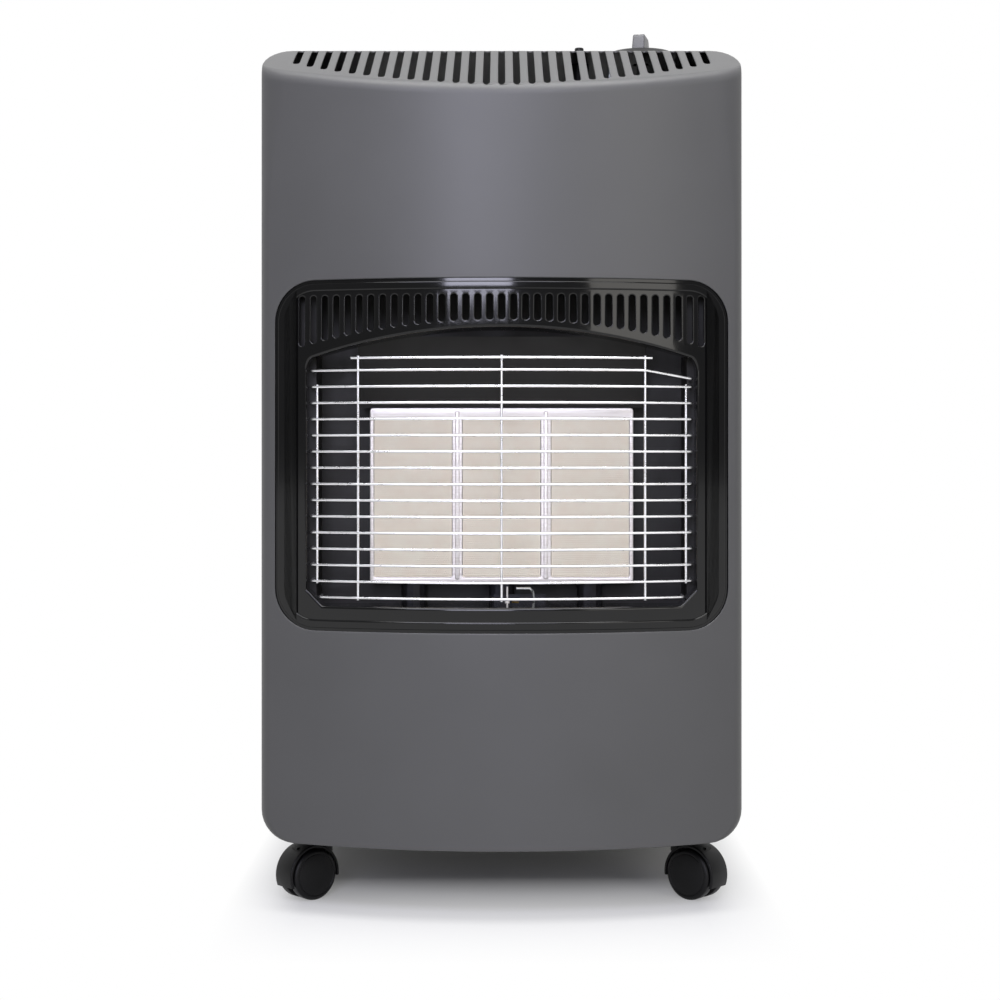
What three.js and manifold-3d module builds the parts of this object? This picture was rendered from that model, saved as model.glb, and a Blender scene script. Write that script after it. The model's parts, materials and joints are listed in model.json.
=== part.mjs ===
// Portable gas cabinet heater on four twin-wheel casters.
// Millimetres. X to the right seen from the front, +Y to the back, +Z up.
// The origin is at floor level, midway across the width and the depth.
import * as THREE from 'three';
import { mergeVertices } from 'three/addons/utils/BufferGeometryUtils.js';
import Module from 'manifold-3d';

const wasm = await Module();
wasm.setup();

// Clearances
const gap = 0.3;
const seam = 0.4;

// Cabinet envelope
const width = 420;
const depth = 440;
const bowRadius = 466;
const panelBottom = 62;
const topHeight = 765;
const sheet = 1.2;
const topCornerRadius = 22;
const bottomCornerRadius = 26;
const edgeRadius = 8;
const bowColumns = 12;
const slopeAngle = THREE.MathUtils.degToRad(24);
const browDrop = 54;
const browRadius = 14;
const crestRadius = 60;

// Front panel
const frontFlange = 32;
const bottomFlange = 12;
const windowClearance = 2.5;
const topSlotCount = 29;
const topSlotPitch = 12.95;
const topSlotWidth = 6;
const topSlotArc = 290;
const topSlotSetback = 4;
const slopeRear = -88;
const topSkirt = 30;

// Burner surround
const surroundWidth = 388;
const surroundHeight = 296;
const surroundBottom = 249;
const surroundCorner = 33;
const surroundFlange = 10;
const surroundSheet = 1.4;
const beadWidth = 8;
const beadHeight = 1.5;
const openingWidth = 336;
const openingBottom = 268;
const archTop = 506;
const archRadius = 540;
const archCorner = 14;
const sillChamfer = 14;
const ventCount = 35;
const ventPitch = 10.12;
const ventWidth = 5;
const ventTop = 534;
const ventFoot = 512.5;
const ventArc = 700;

// Firebox
const fireboxFront = -163;
const fireboxBack = -111;
const fireboxWidth = 326;
const fireboxBottom = 256;
const fireboxTop = 552;
const fireboxRim = 14;
const shieldFall = 66;
const shieldRise = 88;
const flueInset = 10;
const deflectorDrop = 62;
const deflectorReach = 24;
const deflectorHalfWidth = 126;

// Burner
const plaqueCount = 3;
const plaqueWidth = 69;
const plaqueHeight = 140.4;
const plaquePitch = 78.4;
const plaqueBottom = 289;
const plaqueThickness = 13;
const burnerFront = -142;
const frameThickness = 4;
const frameSide = 3.7;
const frameTop = 9.4;
const frameFoot = 4.5;
const bodySheet = 1.2;
const bodyRim = 3;
const venturiRadius = 11;
const venturiBore = 9;

// Wire guard
const wireDiameter = 2.2;
const wireSides = 4;
const wirePitch = 13.93;
const wireCount = 15;
const lowestWire = 275;
const guardSetback = 5;
const guardHalfWidth = 164.5;
const guardFootHalfWidth = 157;
const guardDroop = 7;
const guardTopWire = 480.5;
const guardTopHalfWidth = 129;
const uprightInner = 123;
const uprightOuter = 159;

// Gas train
const manifoldRadius = 6;
const manifoldHeight = 232;
const injectorRadius = 4;
const pilotX = 5;
const pilotY = -152;
const pilotBurnerStep = 7;
const thermocoupleStep = 24;
const feedRadius = 4;
const pilotTubeRadius = 2;
const leadRadius = 1.8;
const valveX = 131;
const valveY = -32;
const valveWidth = 42;
const valveDepth = 34;
const valveHeight = 32;
const valveDrop = 36;
const inletRadius = 5;
const inletLength = 34;
const bracketSheet = 1.5;

// Controls
const bezelRadius = 42;
const bezelHeight = 10;
const bezelFloor = 1.5;
const bezelRoom = 3;
const spindleRadius = 4;
const knobRadius = 23;
const knobSkirt = 3;
const knobHeight = 18.7;
const knobYaw = THREE.MathUtils.degToRad(-12);
const knobTravel = 4;
const bladeThickness = 12;
const piezoX = 73;
const piezoBodyRadius = 9;
const piezoLength = 60;
const buttonRadius = 4.2;
const buttonProud = 14.5;
const buttonTravel = 6;

// Sides, top and back
const sideInset = 1.5;
const sideBottom = 90;
const sideOverlap = 12;
const topOverlap = 4;
const panProud = 14;
const rearFlange = 14;
const louvreCount = 6;
const louvreLength = 70;
const louvreWidth = 5;
const louvrePitch = 14;
const lowLouvreY = 60;
const lowLouvreZ = 150;
const highLouvreY = -70;
const highLouvreZ = 430;
const gripLength = 112;
const gripHeight = 36;
const gripDepth = 24;
const gripDrop = 155;
const gripRim = 6;
const coverBottom = 70;
const coverDrop = 125;
const coverInset = 7;
const coverSheet = 1.5;
const panHalfWidth = 152;
const panMargin = 42;
const panCorner = 20;
const panSlotCount = 5;
const panSlotHalf = 90;
const panSlotPitch = 14;
const panSlotHeight = 5;
const panSlotFoot = 30;
const panSlotHead = 90;
const backSlotCount = 15;
const backSlotPitch = 20;
const backSlotWidth = 8;
const backSlotHeight = 50;
const backSlotFoot = 22;

// Base tray and casters
const trayBottom = 63.6;
const traySheet = 1.5;
const trayRim = 100;
const wheelRadius = 22.5;
const wheelWidth = 10;
const wheelDome = 1.8;
const wheelGap = 8;
const axleRadius = 3;
const casterTrail = 18;
const casterYaw = THREE.MathUtils.degToRad(41);
const frontCasterX = 160.6;
const frontCasterY = -106;
const rearCasterX = 160;
const rearCasterY = 150;
const hoodThickness = 2.4;
const hoodFootAhead = 13;
const hoodFootBehind = 19;
const stemRadius = 5.5;
const collarRadius = 11;
const collarHeight = 8;

// Values that follow from the ones above
const halfWidth = width / 2;
const apex = -depth / 2;
const rear = depth / 2;
const bowCentre = apex + bowRadius;
const surroundCentre = surroundBottom + surroundHeight / 2;
const bodyRear = rear - panProud;
const slopeStart = topHeight - browDrop;
const sideFront = bowY(halfWidth, 0) + frontFlange;
const topSeam = topHeight - topSkirt;
const plaqueCentre = plaqueBottom + plaqueHeight / 2;
const burnerBack = fireboxBack - gap;
const venturiY = (burnerFront + frameThickness + burnerBack) / 2;
const valveTop = topHeight - sheet - valveDrop;
const shieldBottom = fireboxBottom - shieldFall;
const shieldTop = fireboxTop + shieldRise;
const gripZ = topHeight - gripDrop;
const coverTop = topHeight - coverDrop;
const coverHalfWidth = halfWidth - coverInset;
const panBottom = coverBottom + panMargin;
const panTop = coverTop - panMargin;
const pilotPlate = fireboxBottom + sheet + gap;

// Materials
const paint = (color, roughness, metalness) => new THREE.MeshStandardMaterial({ color, roughness, metalness });
const cabinetPaint = paint(0x66666a, 0.5, 0.2);
const blackEnamel = paint(0x1a1a1a, 0.2, 0.1);
const fireboxBlack = paint(0x141414, 0.5, 0.2);
const brightWire = paint(0xe8e8ea, 0.2, 0.9);
const ceramic = paint(0xe9e0d6, 0.9, 0);
const frameSteel = paint(0xdedad6, 0.4, 0.7);
const galvanised = paint(0xb4b7b8, 0.45, 0.8);
const brass = paint(0xb9974c, 0.35, 0.9);
const aluminium = paint(0xa9abad, 0.4, 0.8);
const whiteCeramic = paint(0xf2f0ea, 0.4, 0);
const blackPlastic = paint(0x1b1b1c, 0.55, 0);
const greyPlastic = paint(0x5b5b5d, 0.5, 0);
const chrome = paint(0xd5d8da, 0.15, 1);

const heater = new THREE.Group();

// ---- Solids and drawings ----

function solidOf(geometry) {
  const bare = geometry.clone();
  bare.deleteAttribute('normal');
  bare.deleteAttribute('uv');
  const merged = mergeVertices(bare, 1e-4);
  const vertProperties = new Float32Array(merged.attributes.position.array);
  const triVerts = new Uint32Array(merged.index.array);
  return new wasm.Manifold(new wasm.Mesh({ numProp: 3, vertProperties, triVerts }));
}

function geometryOf(solid) {
  const mesh = solid.getMesh();
  const geometry = new THREE.BufferGeometry();
  geometry.setAttribute('position', new THREE.BufferAttribute(mesh.vertProperties, 3));
  geometry.setIndex(new THREE.BufferAttribute(mesh.triVerts, 1));
  return geometry;
}

function join(solids) {
  return solids.reduce((whole, solid) => whole.add(solid));
}

function cut(solid, tools) {
  return tools.reduce((rest, tool) => rest.subtract(tool), solid);
}

// A drawing extruded along one axis: (x, y) along z, (x, z) along y or (y, z) along x.
function prism(shape, axis, from, to, curveSegments = 4) {
  const settings = { depth: to - from, bevelEnabled: false, curveSegments };
  const geometry = new THREE.ExtrudeGeometry(shape, settings);
  const [x, y, z] = [new THREE.Vector3(1, 0, 0), new THREE.Vector3(0, 1, 0), new THREE.Vector3(0, 0, 1)];
  const turns = {
    x: new THREE.Matrix4().makeBasis(y, z, x).setPosition(from, 0, 0),
    y: new THREE.Matrix4().makeBasis(x, z, y.clone().negate()).setPosition(0, to, 0),
    z: new THREE.Matrix4().setPosition(0, 0, from),
  };
  return solidOf(geometry.applyMatrix4(turns[axis]));
}

function block(x0, x1, y0, y1, z0, z1) {
  const geometry = new THREE.BoxGeometry(x1 - x0, y1 - y0, z1 - z0);
  return solidOf(geometry.translate((x0 + x1) / 2, (y0 + y1) / 2, (z0 + z1) / 2));
}

function rod(radius, axis, from, to, a, b, sides = 12) {
  const geometry = new THREE.CylinderGeometry(radius, radius, to - from, sides);
  const middle = (from + to) / 2;
  if (axis === 'x') geometry.rotateZ(Math.PI / 2).translate(middle, a, b);
  if (axis === 'y') geometry.translate(a, middle, b);
  if (axis === 'z') geometry.rotateX(Math.PI / 2).translate(a, b, middle);
  return solidOf(geometry);
}

function turned(points, sides) {
  const profile = points.map(([radius, height]) => new THREE.Vector2(radius, height));
  return new THREE.LatheGeometry(profile, sides);
}

function polygon(points) {
  return new THREE.Shape(points.map(([a, b]) => new THREE.Vector2(a, b)));
}

function roundedRectangle(w, h, radius, centreA, centreB) {
  const [a, b] = [centreA - w / 2, centreB - h / 2];
  const shape = new THREE.Shape();
  shape.moveTo(a + radius, b);
  shape.lineTo(a + w - radius, b);
  shape.absarc(a + w - radius, b + radius, radius, -Math.PI / 2, 0);
  shape.lineTo(a + w, b + h - radius);
  shape.absarc(a + w - radius, b + h - radius, radius, 0, Math.PI / 2);
  shape.lineTo(a + radius, b + h);
  shape.absarc(a + radius, b + h - radius, radius, Math.PI / 2, Math.PI);
  shape.lineTo(a, b + radius);
  shape.absarc(a + radius, b + radius, radius, Math.PI, 1.5 * Math.PI);
  return shape;
}

// A slot with round ends, long in the drawing's second direction.
function slotShape(slotWidth, a, from, to) {
  return roundedRectangle(slotWidth, to - from, slotWidth / 2 - 0.01, a, (from + to) / 2);
}

function tube(points, radius, sides = 6, steps = 30) {
  const path = new THREE.CatmullRomCurve3(points.map((p) => new THREE.Vector3(...p)), false, 'centripetal');
  const section = new THREE.Shape();
  for (let i = 0; i < sides; i += 1) {
    const turn = (2 * Math.PI * i) / sides;
    const corner = [radius * Math.cos(turn), radius * Math.sin(turn)];
    if (i === 0) section.moveTo(...corner);
    else section.lineTo(...corner);
  }
  return new THREE.ExtrudeGeometry(section, { steps, extrudePath: path, bevelEnabled: false });
}

function addMesh(name, shape, material, parent = heater) {
  const geometry = shape.isBufferGeometry ? shape : geometryOf(shape);
  const mesh = new THREE.Mesh(geometry, material);
  mesh.name = name;
  parent.add(mesh);
  return mesh;
}

// ---- The bowed, round-shouldered body ----

// The y of the bowed front at x, for a surface that lies inset behind it.
function bowY(x, inset) {
  const radius = bowRadius - inset;
  return apex + bowRadius - Math.sqrt(radius * radius - x * x);
}

// The x of each bend in the bowed front, out to half on both sides.
function bowXs(half) {
  const pitch = (2 * (halfWidth - edgeRadius)) / bowColumns;
  const inside = Array.from({ length: bowColumns + 1 }, (_, i) => (i - bowColumns / 2) * pitch);
  return [-half, ...inside.filter((x) => Math.abs(x) < half - 1), half];
}

// Section through the front, brow, slope and crest at one x, as (y, z) from the foot of the front to the top.
function noseSection(x, inset, bottom) {
  const front = bowY(x, inset);
  const top = topHeight - inset;
  const start = slopeStart - inset / Math.cos(slopeAngle);
  const corner = start + (front - apex) * Math.tan(slopeAngle);
  const turn = Math.PI / 2 - slopeAngle;
  const brow = browRadius - inset;
  const browStart = corner - brow * Math.tan(turn / 2);
  const points = [[front, bottom]];
  const browSteps = 2;
  for (let i = 0; i <= browSteps; i += 1) {
    const angle = (turn * i) / browSteps;
    points.push([front + brow * (1 - Math.cos(angle)), browStart + brow * Math.sin(angle)]);
  }
  const crest = crestRadius - inset;
  const crestEnd = apex + (top - start) / Math.tan(slopeAngle) + crest * Math.tan(slopeAngle / 2);
  const crestSteps = 2;
  for (let i = 0; i <= crestSteps; i += 1) {
    const angle = slopeAngle * (1 - i / crestSteps);
    points.push([crestEnd - crest * Math.sin(angle), top - crest * (1 - Math.cos(angle))]);
  }
  return points;
}

// A closed solid through rings with equal counts of points, with fans for its two ends.
function loft(rings) {
  const count = rings[0].length;
  const positions = rings.flat().flat();
  const index = [];
  for (let r = 0; r + 1 < rings.length; r += 1) {
    for (let i = 0; i < count; i += 1) {
      const [a, b] = [r * count + i, r * count + ((i + 1) % count)];
      index.push(a, b, b + count, a, b + count, a + count);
    }
  }
  const last = (rings.length - 1) * count;
  for (let i = 1; i + 1 < count; i += 1) {
    index.push(0, i + 1, i, last, last + i, last + i + 1);
  }
  const geometry = new THREE.BufferGeometry();
  geometry.setAttribute('position', new THREE.Float32BufferAttribute(positions, 3));
  geometry.setIndex(index);
  return solidOf(geometry);
}

// The body's form, inset all round, from a height up and as far back as y = back.
function bodyBlock(inset, bottom, back) {
  const top = topHeight - inset;
  const rings = bowXs(halfWidth - inset).map((x) => {
    const section = [[back, bottom], ...noseSection(x, inset, bottom), [back, top]];
    return section.map(([y, z]) => [x, y, z]).reverse();
  });
  return loft(rings).intersect(frontOutline(inset, bottom, back)).intersect(planOutline(inset, back));
}

// The same form with straight walls only, between two heights.
function bowBlock(inset, bottom, top, back) {
  const front = bowXs(halfWidth - inset).map((x) => [x, bowY(x, inset)]);
  const plan = polygon([[-halfWidth + inset, back], ...front, [halfWidth - inset, back]]);
  return prism(plan, 'z', bottom, top).intersect(planOutline(inset, back));
}

// The front-view outline, with the body's round shoulders and lower corners.
function frontOutline(inset, bottom, back, top = topHeight - inset) {
  const [half, low, high] = [halfWidth - inset, bottomCornerRadius - inset, topCornerRadius - inset];
  const shape = new THREE.Shape();
  shape.moveTo(-half + low, bottom);
  shape.lineTo(half - low, bottom);
  shape.absarc(half - low, bottom + low, low, -Math.PI / 2, 0);
  shape.lineTo(half, top - high);
  shape.absarc(half - high, top - high, high, 0, Math.PI / 2);
  shape.lineTo(-half + high, top);
  shape.absarc(-half + high, top - high, high, Math.PI / 2, Math.PI);
  shape.lineTo(-half, bottom + low);
  shape.absarc(-half + low, bottom + low, low, Math.PI, 1.5 * Math.PI);
  return prism(shape, 'y', apex - 10, back + 10, 5);
}

// The plan outline, which rounds the two upright front edges.
function planOutline(inset, back) {
  const half = halfWidth - inset;
  const radius = edgeRadius - inset;
  const shape = new THREE.Shape();
  const front = bowY(half, inset);
  const start = bowY(half - radius, inset);
  shape.moveTo(half - radius, apex - 10);
  shape.lineTo(half - radius, start);
  shape.quadraticCurveTo(half, front, half, front + radius);
  shape.lineTo(half, back + 10);
  shape.lineTo(-half, back + 10);
  shape.lineTo(-half, front + radius);
  shape.quadraticCurveTo(-half, front, radius - half, start);
  shape.lineTo(radius - half, apex - 10);
  return prism(shape, 'z', 0, topHeight + 10, 3);
}

// ---- Panels ----

const frontRegion = prism(
  polygon([
    [apex - 10, panelBottom - 10],
    [sideFront, panelBottom - 10],
    [sideFront, topSeam],
    [slopeRear, topSeam],
    [slopeRear, topHeight + 10],
    [apex - 10, topHeight + 10],
  ]),
  'x', -halfWidth - 10, halfWidth + 10,
);

function topSlot(x) {
  const front = apex + topSlotSetback + topSlotArc - Math.sqrt(topSlotArc ** 2 - x ** 2);
  const back = slopeRear - 5;
  return prism(slotShape(topSlotWidth, x, front, back), 'z', slopeStart - 30, topHeight + 10, 1);
}

function makeFrontPanel() {
  const outer = bodyBlock(0, panelBottom, 0);
  const hollow = bodyBlock(sheet, panelBottom + sheet, 20);
  const flangeHole = bowBlock(bottomFlange, panelBottom - 5, panelBottom + 5, 20);
  const w = surroundWidth + 2 * windowClearance;
  const h = surroundHeight + 2 * windowClearance;
  const opening = roundedRectangle(w, h, surroundCorner + windowClearance, 0, surroundCentre);
  const window = prism(opening, 'y', apex - 10, sideFront - 5, 6);
  const shell = cut(outer, [hollow, flangeHole]).intersect(frontRegion);
  const slots = [];
  for (let i = 0; i < topSlotCount; i += 1) {
    slots.push(topSlot((i - (topSlotCount - 1) / 2) * topSlotPitch));
  }
  addMesh('front_panel', cut(shell, [window, ...slots]), cabinetPaint);
}

function louvres(x0, x1, yMiddle, zStart) {
  const slots = [];
  for (let i = 0; i < louvreCount; i += 1) {
    const z = zStart + i * louvrePitch;
    slots.push(block(x0, x1, yMiddle - louvreLength / 2, yMiddle + louvreLength / 2, z, z + louvreWidth));
  }
  return slots;
}

function makeSidePanels() {
  const outer = halfWidth - sideInset;
  const inner = outer - sheet;
  const front = sideFront - sideOverlap;
  const back = bodyRear - sheet - gap;
  const top = topSeam + topOverlap;
  for (const [name, side] of [['left', -1], ['right', 1]]) {
    const span = (a, b) => (side > 0 ? [a, b] : [-b, -a]);
    const wall = block(...span(inner, outer), front, back, sideBottom, top);
    const flange = block(...span(outer - rearFlange, outer), back - sheet, back, sideBottom, top);
    const grip = roundedRectangle(gripLength + 1, gripHeight + 1, 8, 0, gripZ);
    const gripHole = prism(grip, 'x', ...span(inner - 5, outer + 5), 2);
    const low = louvres(...span(inner - 5, outer + 5), lowLouvreY, lowLouvreZ);
    const high = louvres(...span(inner - 5, outer + 5), highLouvreY, highLouvreZ);
    addMesh(`side_panel_${name}`, cut(join([wall, flange]), [gripHole, ...low, ...high]), cabinetPaint);
    makeGrip(name, side, span, outer);
  }
}

function makeGrip(name, side, span, outer) {
  const face = outer + gap;
  const rimShape = roundedRectangle(gripLength + 2 * gripRim, gripHeight + 2 * gripRim, 12, 0, gripZ);
  const rim = prism(rimShape, 'x', ...span(face, halfWidth), 3);
  const cupShape = roundedRectangle(gripLength, gripHeight, 7, 0, gripZ);
  const cup = prism(cupShape, 'x', ...span(outer - gripDepth, halfWidth), 2);
  const hollowShape = roundedRectangle(gripLength - 4, gripHeight - 4, 5, 0, gripZ);
  const hollow = prism(hollowShape, 'x', ...span(outer - gripDepth + 2, halfWidth + 5), 2);
  addMesh(`handle_cup_${name}`, cut(join([rim, cup]), [hollow]), blackPlastic);
}

function makeTopPanel() {
  const outer = bodyBlock(0, panelBottom, bodyRear);
  const hollow = bodyBlock(sheet, panelBottom - 10, bodyRear - sheet);
  const behindSlope = block(-halfWidth - 5, halfWidth + 5, slopeRear + seam, rear, topSeam, topHeight + 5);
  const spindleHole = rod(spindleRadius + 4, 'z', topSeam, topHeight + 5, valveX, valveY);
  const piezoHole = rod(piezoBodyRadius + gap, 'z', topSeam, topHeight + 5, piezoX, valveY);
  const shell = cut(outer, [hollow]).intersect(behindSlope);
  addMesh('top_panel', cut(shell, [spindleHole, piezoHole]), cabinetPaint);
}

function makeBackPanel() {
  const back = bodyRear - sheet - gap;
  const plate = block(-coverHalfWidth, coverHalfWidth, back + gap, back + gap + sheet, coverTop + 2, topSeam - seam);
  const slots = [];
  const foot = coverTop + backSlotFoot;
  for (let i = 0; i < backSlotCount; i += 1) {
    const x = (i - (backSlotCount - 1) / 2) * backSlotPitch;
    const half = backSlotWidth / 2;
    slots.push(block(x - half, x + half, back - 5, back + 10, foot, foot + backSlotHeight));
  }
  addMesh('back_panel', cut(plate, slots), cabinetPaint);
}

function makeRearCover() {
  const front = bodyRear - sheet + gap;
  const plate = block(-coverHalfWidth, coverHalfWidth, front, front + coverSheet, coverBottom, coverTop);
  const panShape = (inset) => roundedRectangle(
    2 * (panHalfWidth - inset), panTop - panBottom - 2 * inset, panCorner - inset, 0, (panTop + panBottom) / 2,
  );
  const pan = prism(panShape(0), 'y', front, rear);
  const hollow = prism(panShape(coverSheet), 'y', front - 5, rear - coverSheet);
  const slots = [];
  for (const foot of [panBottom + panSlotFoot, panTop - panSlotHead]) {
    for (let i = 0; i < panSlotCount; i += 1) {
      const z = foot + i * panSlotPitch;
      slots.push(block(-panSlotHalf, panSlotHalf, rear - 8, rear + 5, z, z + panSlotHeight));
    }
  }
  addMesh('rear_cover', cut(join([plate, pan]), [hollow, ...slots]), cabinetPaint);
}

// ---- Burner surround, firebox and guard ----

// The band between two bowed surfaces, full height.
function bowBand(frontInset, backInset, half) {
  const xs = bowXs(half);
  const front = xs.map((x) => [x, bowY(x, frontInset)]);
  const back = xs.map((x) => [x, bowY(x, backInset)]).reverse();
  return prism(polygon([...front, ...back]), 'z', 0, topHeight);
}

// The firebox opening seen from the front: an arched top and chamfered lower corners.
function openingShape(inset) {
  const half = openingWidth / 2 - inset;
  const foot = openingBottom + inset;
  const radius = archRadius - inset;
  const centre = archTop - archRadius;
  const reach = half - archCorner * 0.75;
  const shape = new THREE.Shape();
  shape.moveTo(-half + sillChamfer, foot);
  shape.lineTo(half - sillChamfer, foot);
  shape.lineTo(half, foot + sillChamfer);
  const shoulder = centre + Math.sqrt(radius ** 2 - half ** 2);
  const start = Math.acos(reach / radius);
  shape.lineTo(half, shoulder - archCorner);
  shape.quadraticCurveTo(half, shoulder, reach, centre + Math.sqrt(radius ** 2 - reach ** 2));
  shape.absarc(0, centre, radius, start, Math.PI - start);
  shape.quadraticCurveTo(-half, shoulder, -half, shoulder - archCorner);
  shape.lineTo(-half, foot + sillChamfer);
  return shape;
}

function makeBurnerSurround() {
  const plateFront = sheet + seam;
  const plateBack = plateFront + surroundSheet;
  const full = (inset) => roundedRectangle(
    surroundWidth - 2 * inset, surroundHeight - 2 * inset, surroundCorner - inset, 0, surroundCentre,
  );
  const ySpan = [apex - 10, fireboxFront - gap];
  const half = surroundWidth / 2 + surroundFlange;
  const plate = bowBand(plateFront, plateBack, half).intersect(prism(full(-surroundFlange), 'y', ...ySpan, 6));
  const beadBand = bowBand(plateFront - beadHeight, plateBack, half);
  const beadRing = prism(full(0), 'y', ...ySpan, 6).subtract(prism(full(beadWidth), 'y', ...ySpan, 6));
  const behindBow = bowBand(plateFront, plateFront + 60, half);
  const revealRing = prism(openingShape(-surroundSheet), 'y', ...ySpan, 8);
  const reveal = revealRing.intersect(behindBow);
  const opening = prism(openingShape(0), 'y', ySpan[0], ySpan[1] + 10, 8);
  const vents = [];
  for (let i = 0; i < ventCount; i += 1) {
    const x = (i - (ventCount - 1) / 2) * ventPitch;
    const foot = ventFoot - ventArc + Math.sqrt(ventArc ** 2 - x ** 2);
    vents.push(prism(slotShape(ventWidth, x, foot, ventTop), 'y', ySpan[0], fireboxFront - 3, 1));
  }
  const body = join([plate, beadBand.intersect(beadRing), reveal]);
  addMesh('burner_surround', cut(body, [opening, ...vents]), blackEnamel);
}

function makeFirebox() {
  const half = fireboxWidth / 2;
  const shell = block(-half, half, fireboxFront, fireboxBack + sheet, fireboxBottom, fireboxTop);
  const rim = block(
    -half - fireboxRim, half + fireboxRim, fireboxFront, fireboxFront + sheet,
    fireboxBottom - fireboxRim, fireboxTop + fireboxRim,
  );
  const hollow = block(
    -half + sheet, half - sheet, fireboxFront - 5, fireboxBack, fireboxBottom + sheet, fireboxTop - sheet,
  );
  const holes = [];
  for (let i = 0; i < plaqueCount; i += 1) {
    const x = plaqueX(i);
    holes.push(rod(venturiRadius + 1.5, 'z', fireboxBottom - 20, fireboxBottom + 10, x, venturiY));
  }
  const pilotHole = block(
    pilotX - 6, pilotX + thermocoupleStep + 3, pilotY - 6, pilotY + 6, fireboxBottom - 20, fireboxBottom + 10,
  );
  const vent = block(-half + flueInset, half - flueInset, fireboxFront + 5, fireboxBack - 5, fireboxTop - 10, fireboxTop + 10);
  addMesh('firebox', cut(join([shell, rim]), [hollow, ...holes, pilotHole, vent]), fireboxBlack);
}

function makeDeflector() {
  const foot = [burnerFront + frameThickness, plaqueBottom + plaqueHeight + frameTop + gap];
  const brow = [foot[0] - deflectorReach, foot[1] + deflectorDrop];
  const plate = polygon([foot, [foot[0] + sheet * 1.5, foot[1]], [brow[0] + sheet * 1.5, brow[1]], brow]);
  addMesh('heat_deflector', prism(plate, 'x', -deflectorHalfWidth, deflectorHalfWidth), fireboxBlack);
}

function makeHeatShield() {
  const half = halfWidth - sideInset - sheet - gap;
  const y = fireboxBack + sheet + gap;
  const plate = block(-half, half, y, y + sheet, shieldBottom, shieldTop);
  addMesh('heat_shield', plate, galvanised);
}

// One wire of the guard: across the bow, with both ends bent back to the firebox rim.
function guardWire(z, half, drop = 0) {
  const y = (x) => bowY(x, guardSetback);
  const back = fireboxFront - gap;
  const points = [[-half, back, z], [-half, y(half) + 12, z]];
  const steps = 6;
  for (let i = 0; i <= steps; i += 1) {
    const x = (half - 4) * ((2 * i) / steps - 1);
    const fall = Math.max(x - uprightInner, 0) / (half - uprightInner);
    points.push([x, y(x), z - drop * fall]);
  }
  points.push([half, y(half) + 12, z - drop], [half, back, z - drop]);
  return sweep(points.map((p) => new THREE.Vector3(...p)), wireDiameter / 2, wireSides);
}

// A tube through given corners, mitred at each of them.
function sweep(corners, radius, sides) {
  const rings = corners.map((corner, i) => {
    const before = corners[Math.max(i - 1, 0)];
    const after = corners[Math.min(i + 1, corners.length - 1)];
    const forward = after.clone().sub(before).normalize();
    const up = new THREE.Vector3(0, 0, 1);
    const lift = Math.abs(forward.z) > 0.9 ? new THREE.Vector3(0, -1, 0) : up;
    const across = new THREE.Vector3().crossVectors(forward, lift).normalize();
    const normal = new THREE.Vector3().crossVectors(across, forward).normalize();
    return Array.from({ length: sides }, (_, k) => {
      const turn = (2 * Math.PI * (k + 0.5)) / sides;
      const offset = across.clone().multiplyScalar(radius * Math.cos(turn));
      return corner.clone().add(offset).addScaledVector(normal, radius * Math.sin(turn));
    });
  });
  const positions = rings.flat().flatMap((p) => [p.x, p.y, p.z]);
  const index = [];
  for (let r = 0; r + 1 < rings.length; r += 1) {
    for (let i = 0; i < sides; i += 1) {
      const [a, b] = [r * sides + i, r * sides + ((i + 1) % sides)];
      index.push(a, b + sides, b, a, a + sides, b + sides);
    }
  }
  const last = (rings.length - 1) * sides;
  for (let i = 1; i + 1 < sides; i += 1) {
    index.push(0, i, i + 1);
    index.push(last, last + i + 1, last + i);
  }
  const geometry = new THREE.BufferGeometry();
  geometry.setAttribute('position', new THREE.Float32BufferAttribute(positions, 3));
  geometry.setIndex(index);
  return solidOf(geometry);
}

function makeWireGuard() {
  const wires = [];
  for (let i = 0; i < wireCount; i += 1) {
    const half = i === 0 ? guardFootHalfWidth : guardHalfWidth;
    const droop = i === wireCount - 1 ? guardDroop : 0;
    wires.push(guardWire(lowestWire + i * wirePitch, half, droop));
  }
  const topHalf = guardTopHalfWidth;
  const across = [];
  for (let i = 0; i <= 6; i += 1) {
    const x = topHalf * (i / 3 - 1);
    across.push(new THREE.Vector3(x, bowY(x, guardSetback), guardTopWire));
  }
  wires.push(sweep(across, wireDiameter / 2, wireSides));
  const upright = (x, from, to) => {
    const y = bowY(x, guardSetback) + wireDiameter * 0.6;
    return sweep([new THREE.Vector3(x, y, from), new THREE.Vector3(x, y, to)], wireDiameter / 2, wireSides);
  };
  const low = lowestWire - 1;
  const high = guardTopWire + 1;
  for (const x of [-uprightInner, 0, uprightInner]) wires.push(upright(x, low, high));
  const outerTop = lowestWire + (wireCount - 2) * wirePitch + 1;
  for (const x of [-uprightOuter, uprightOuter]) wires.push(upright(x, lowestWire + wirePitch - 1, outerTop));
  addMesh('wire_guard', join(wires), brightWire);
}

// ---- Burner and pilot ----

function plaqueX(i) {
  return (i - (plaqueCount - 1) / 2) * plaquePitch;
}

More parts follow.
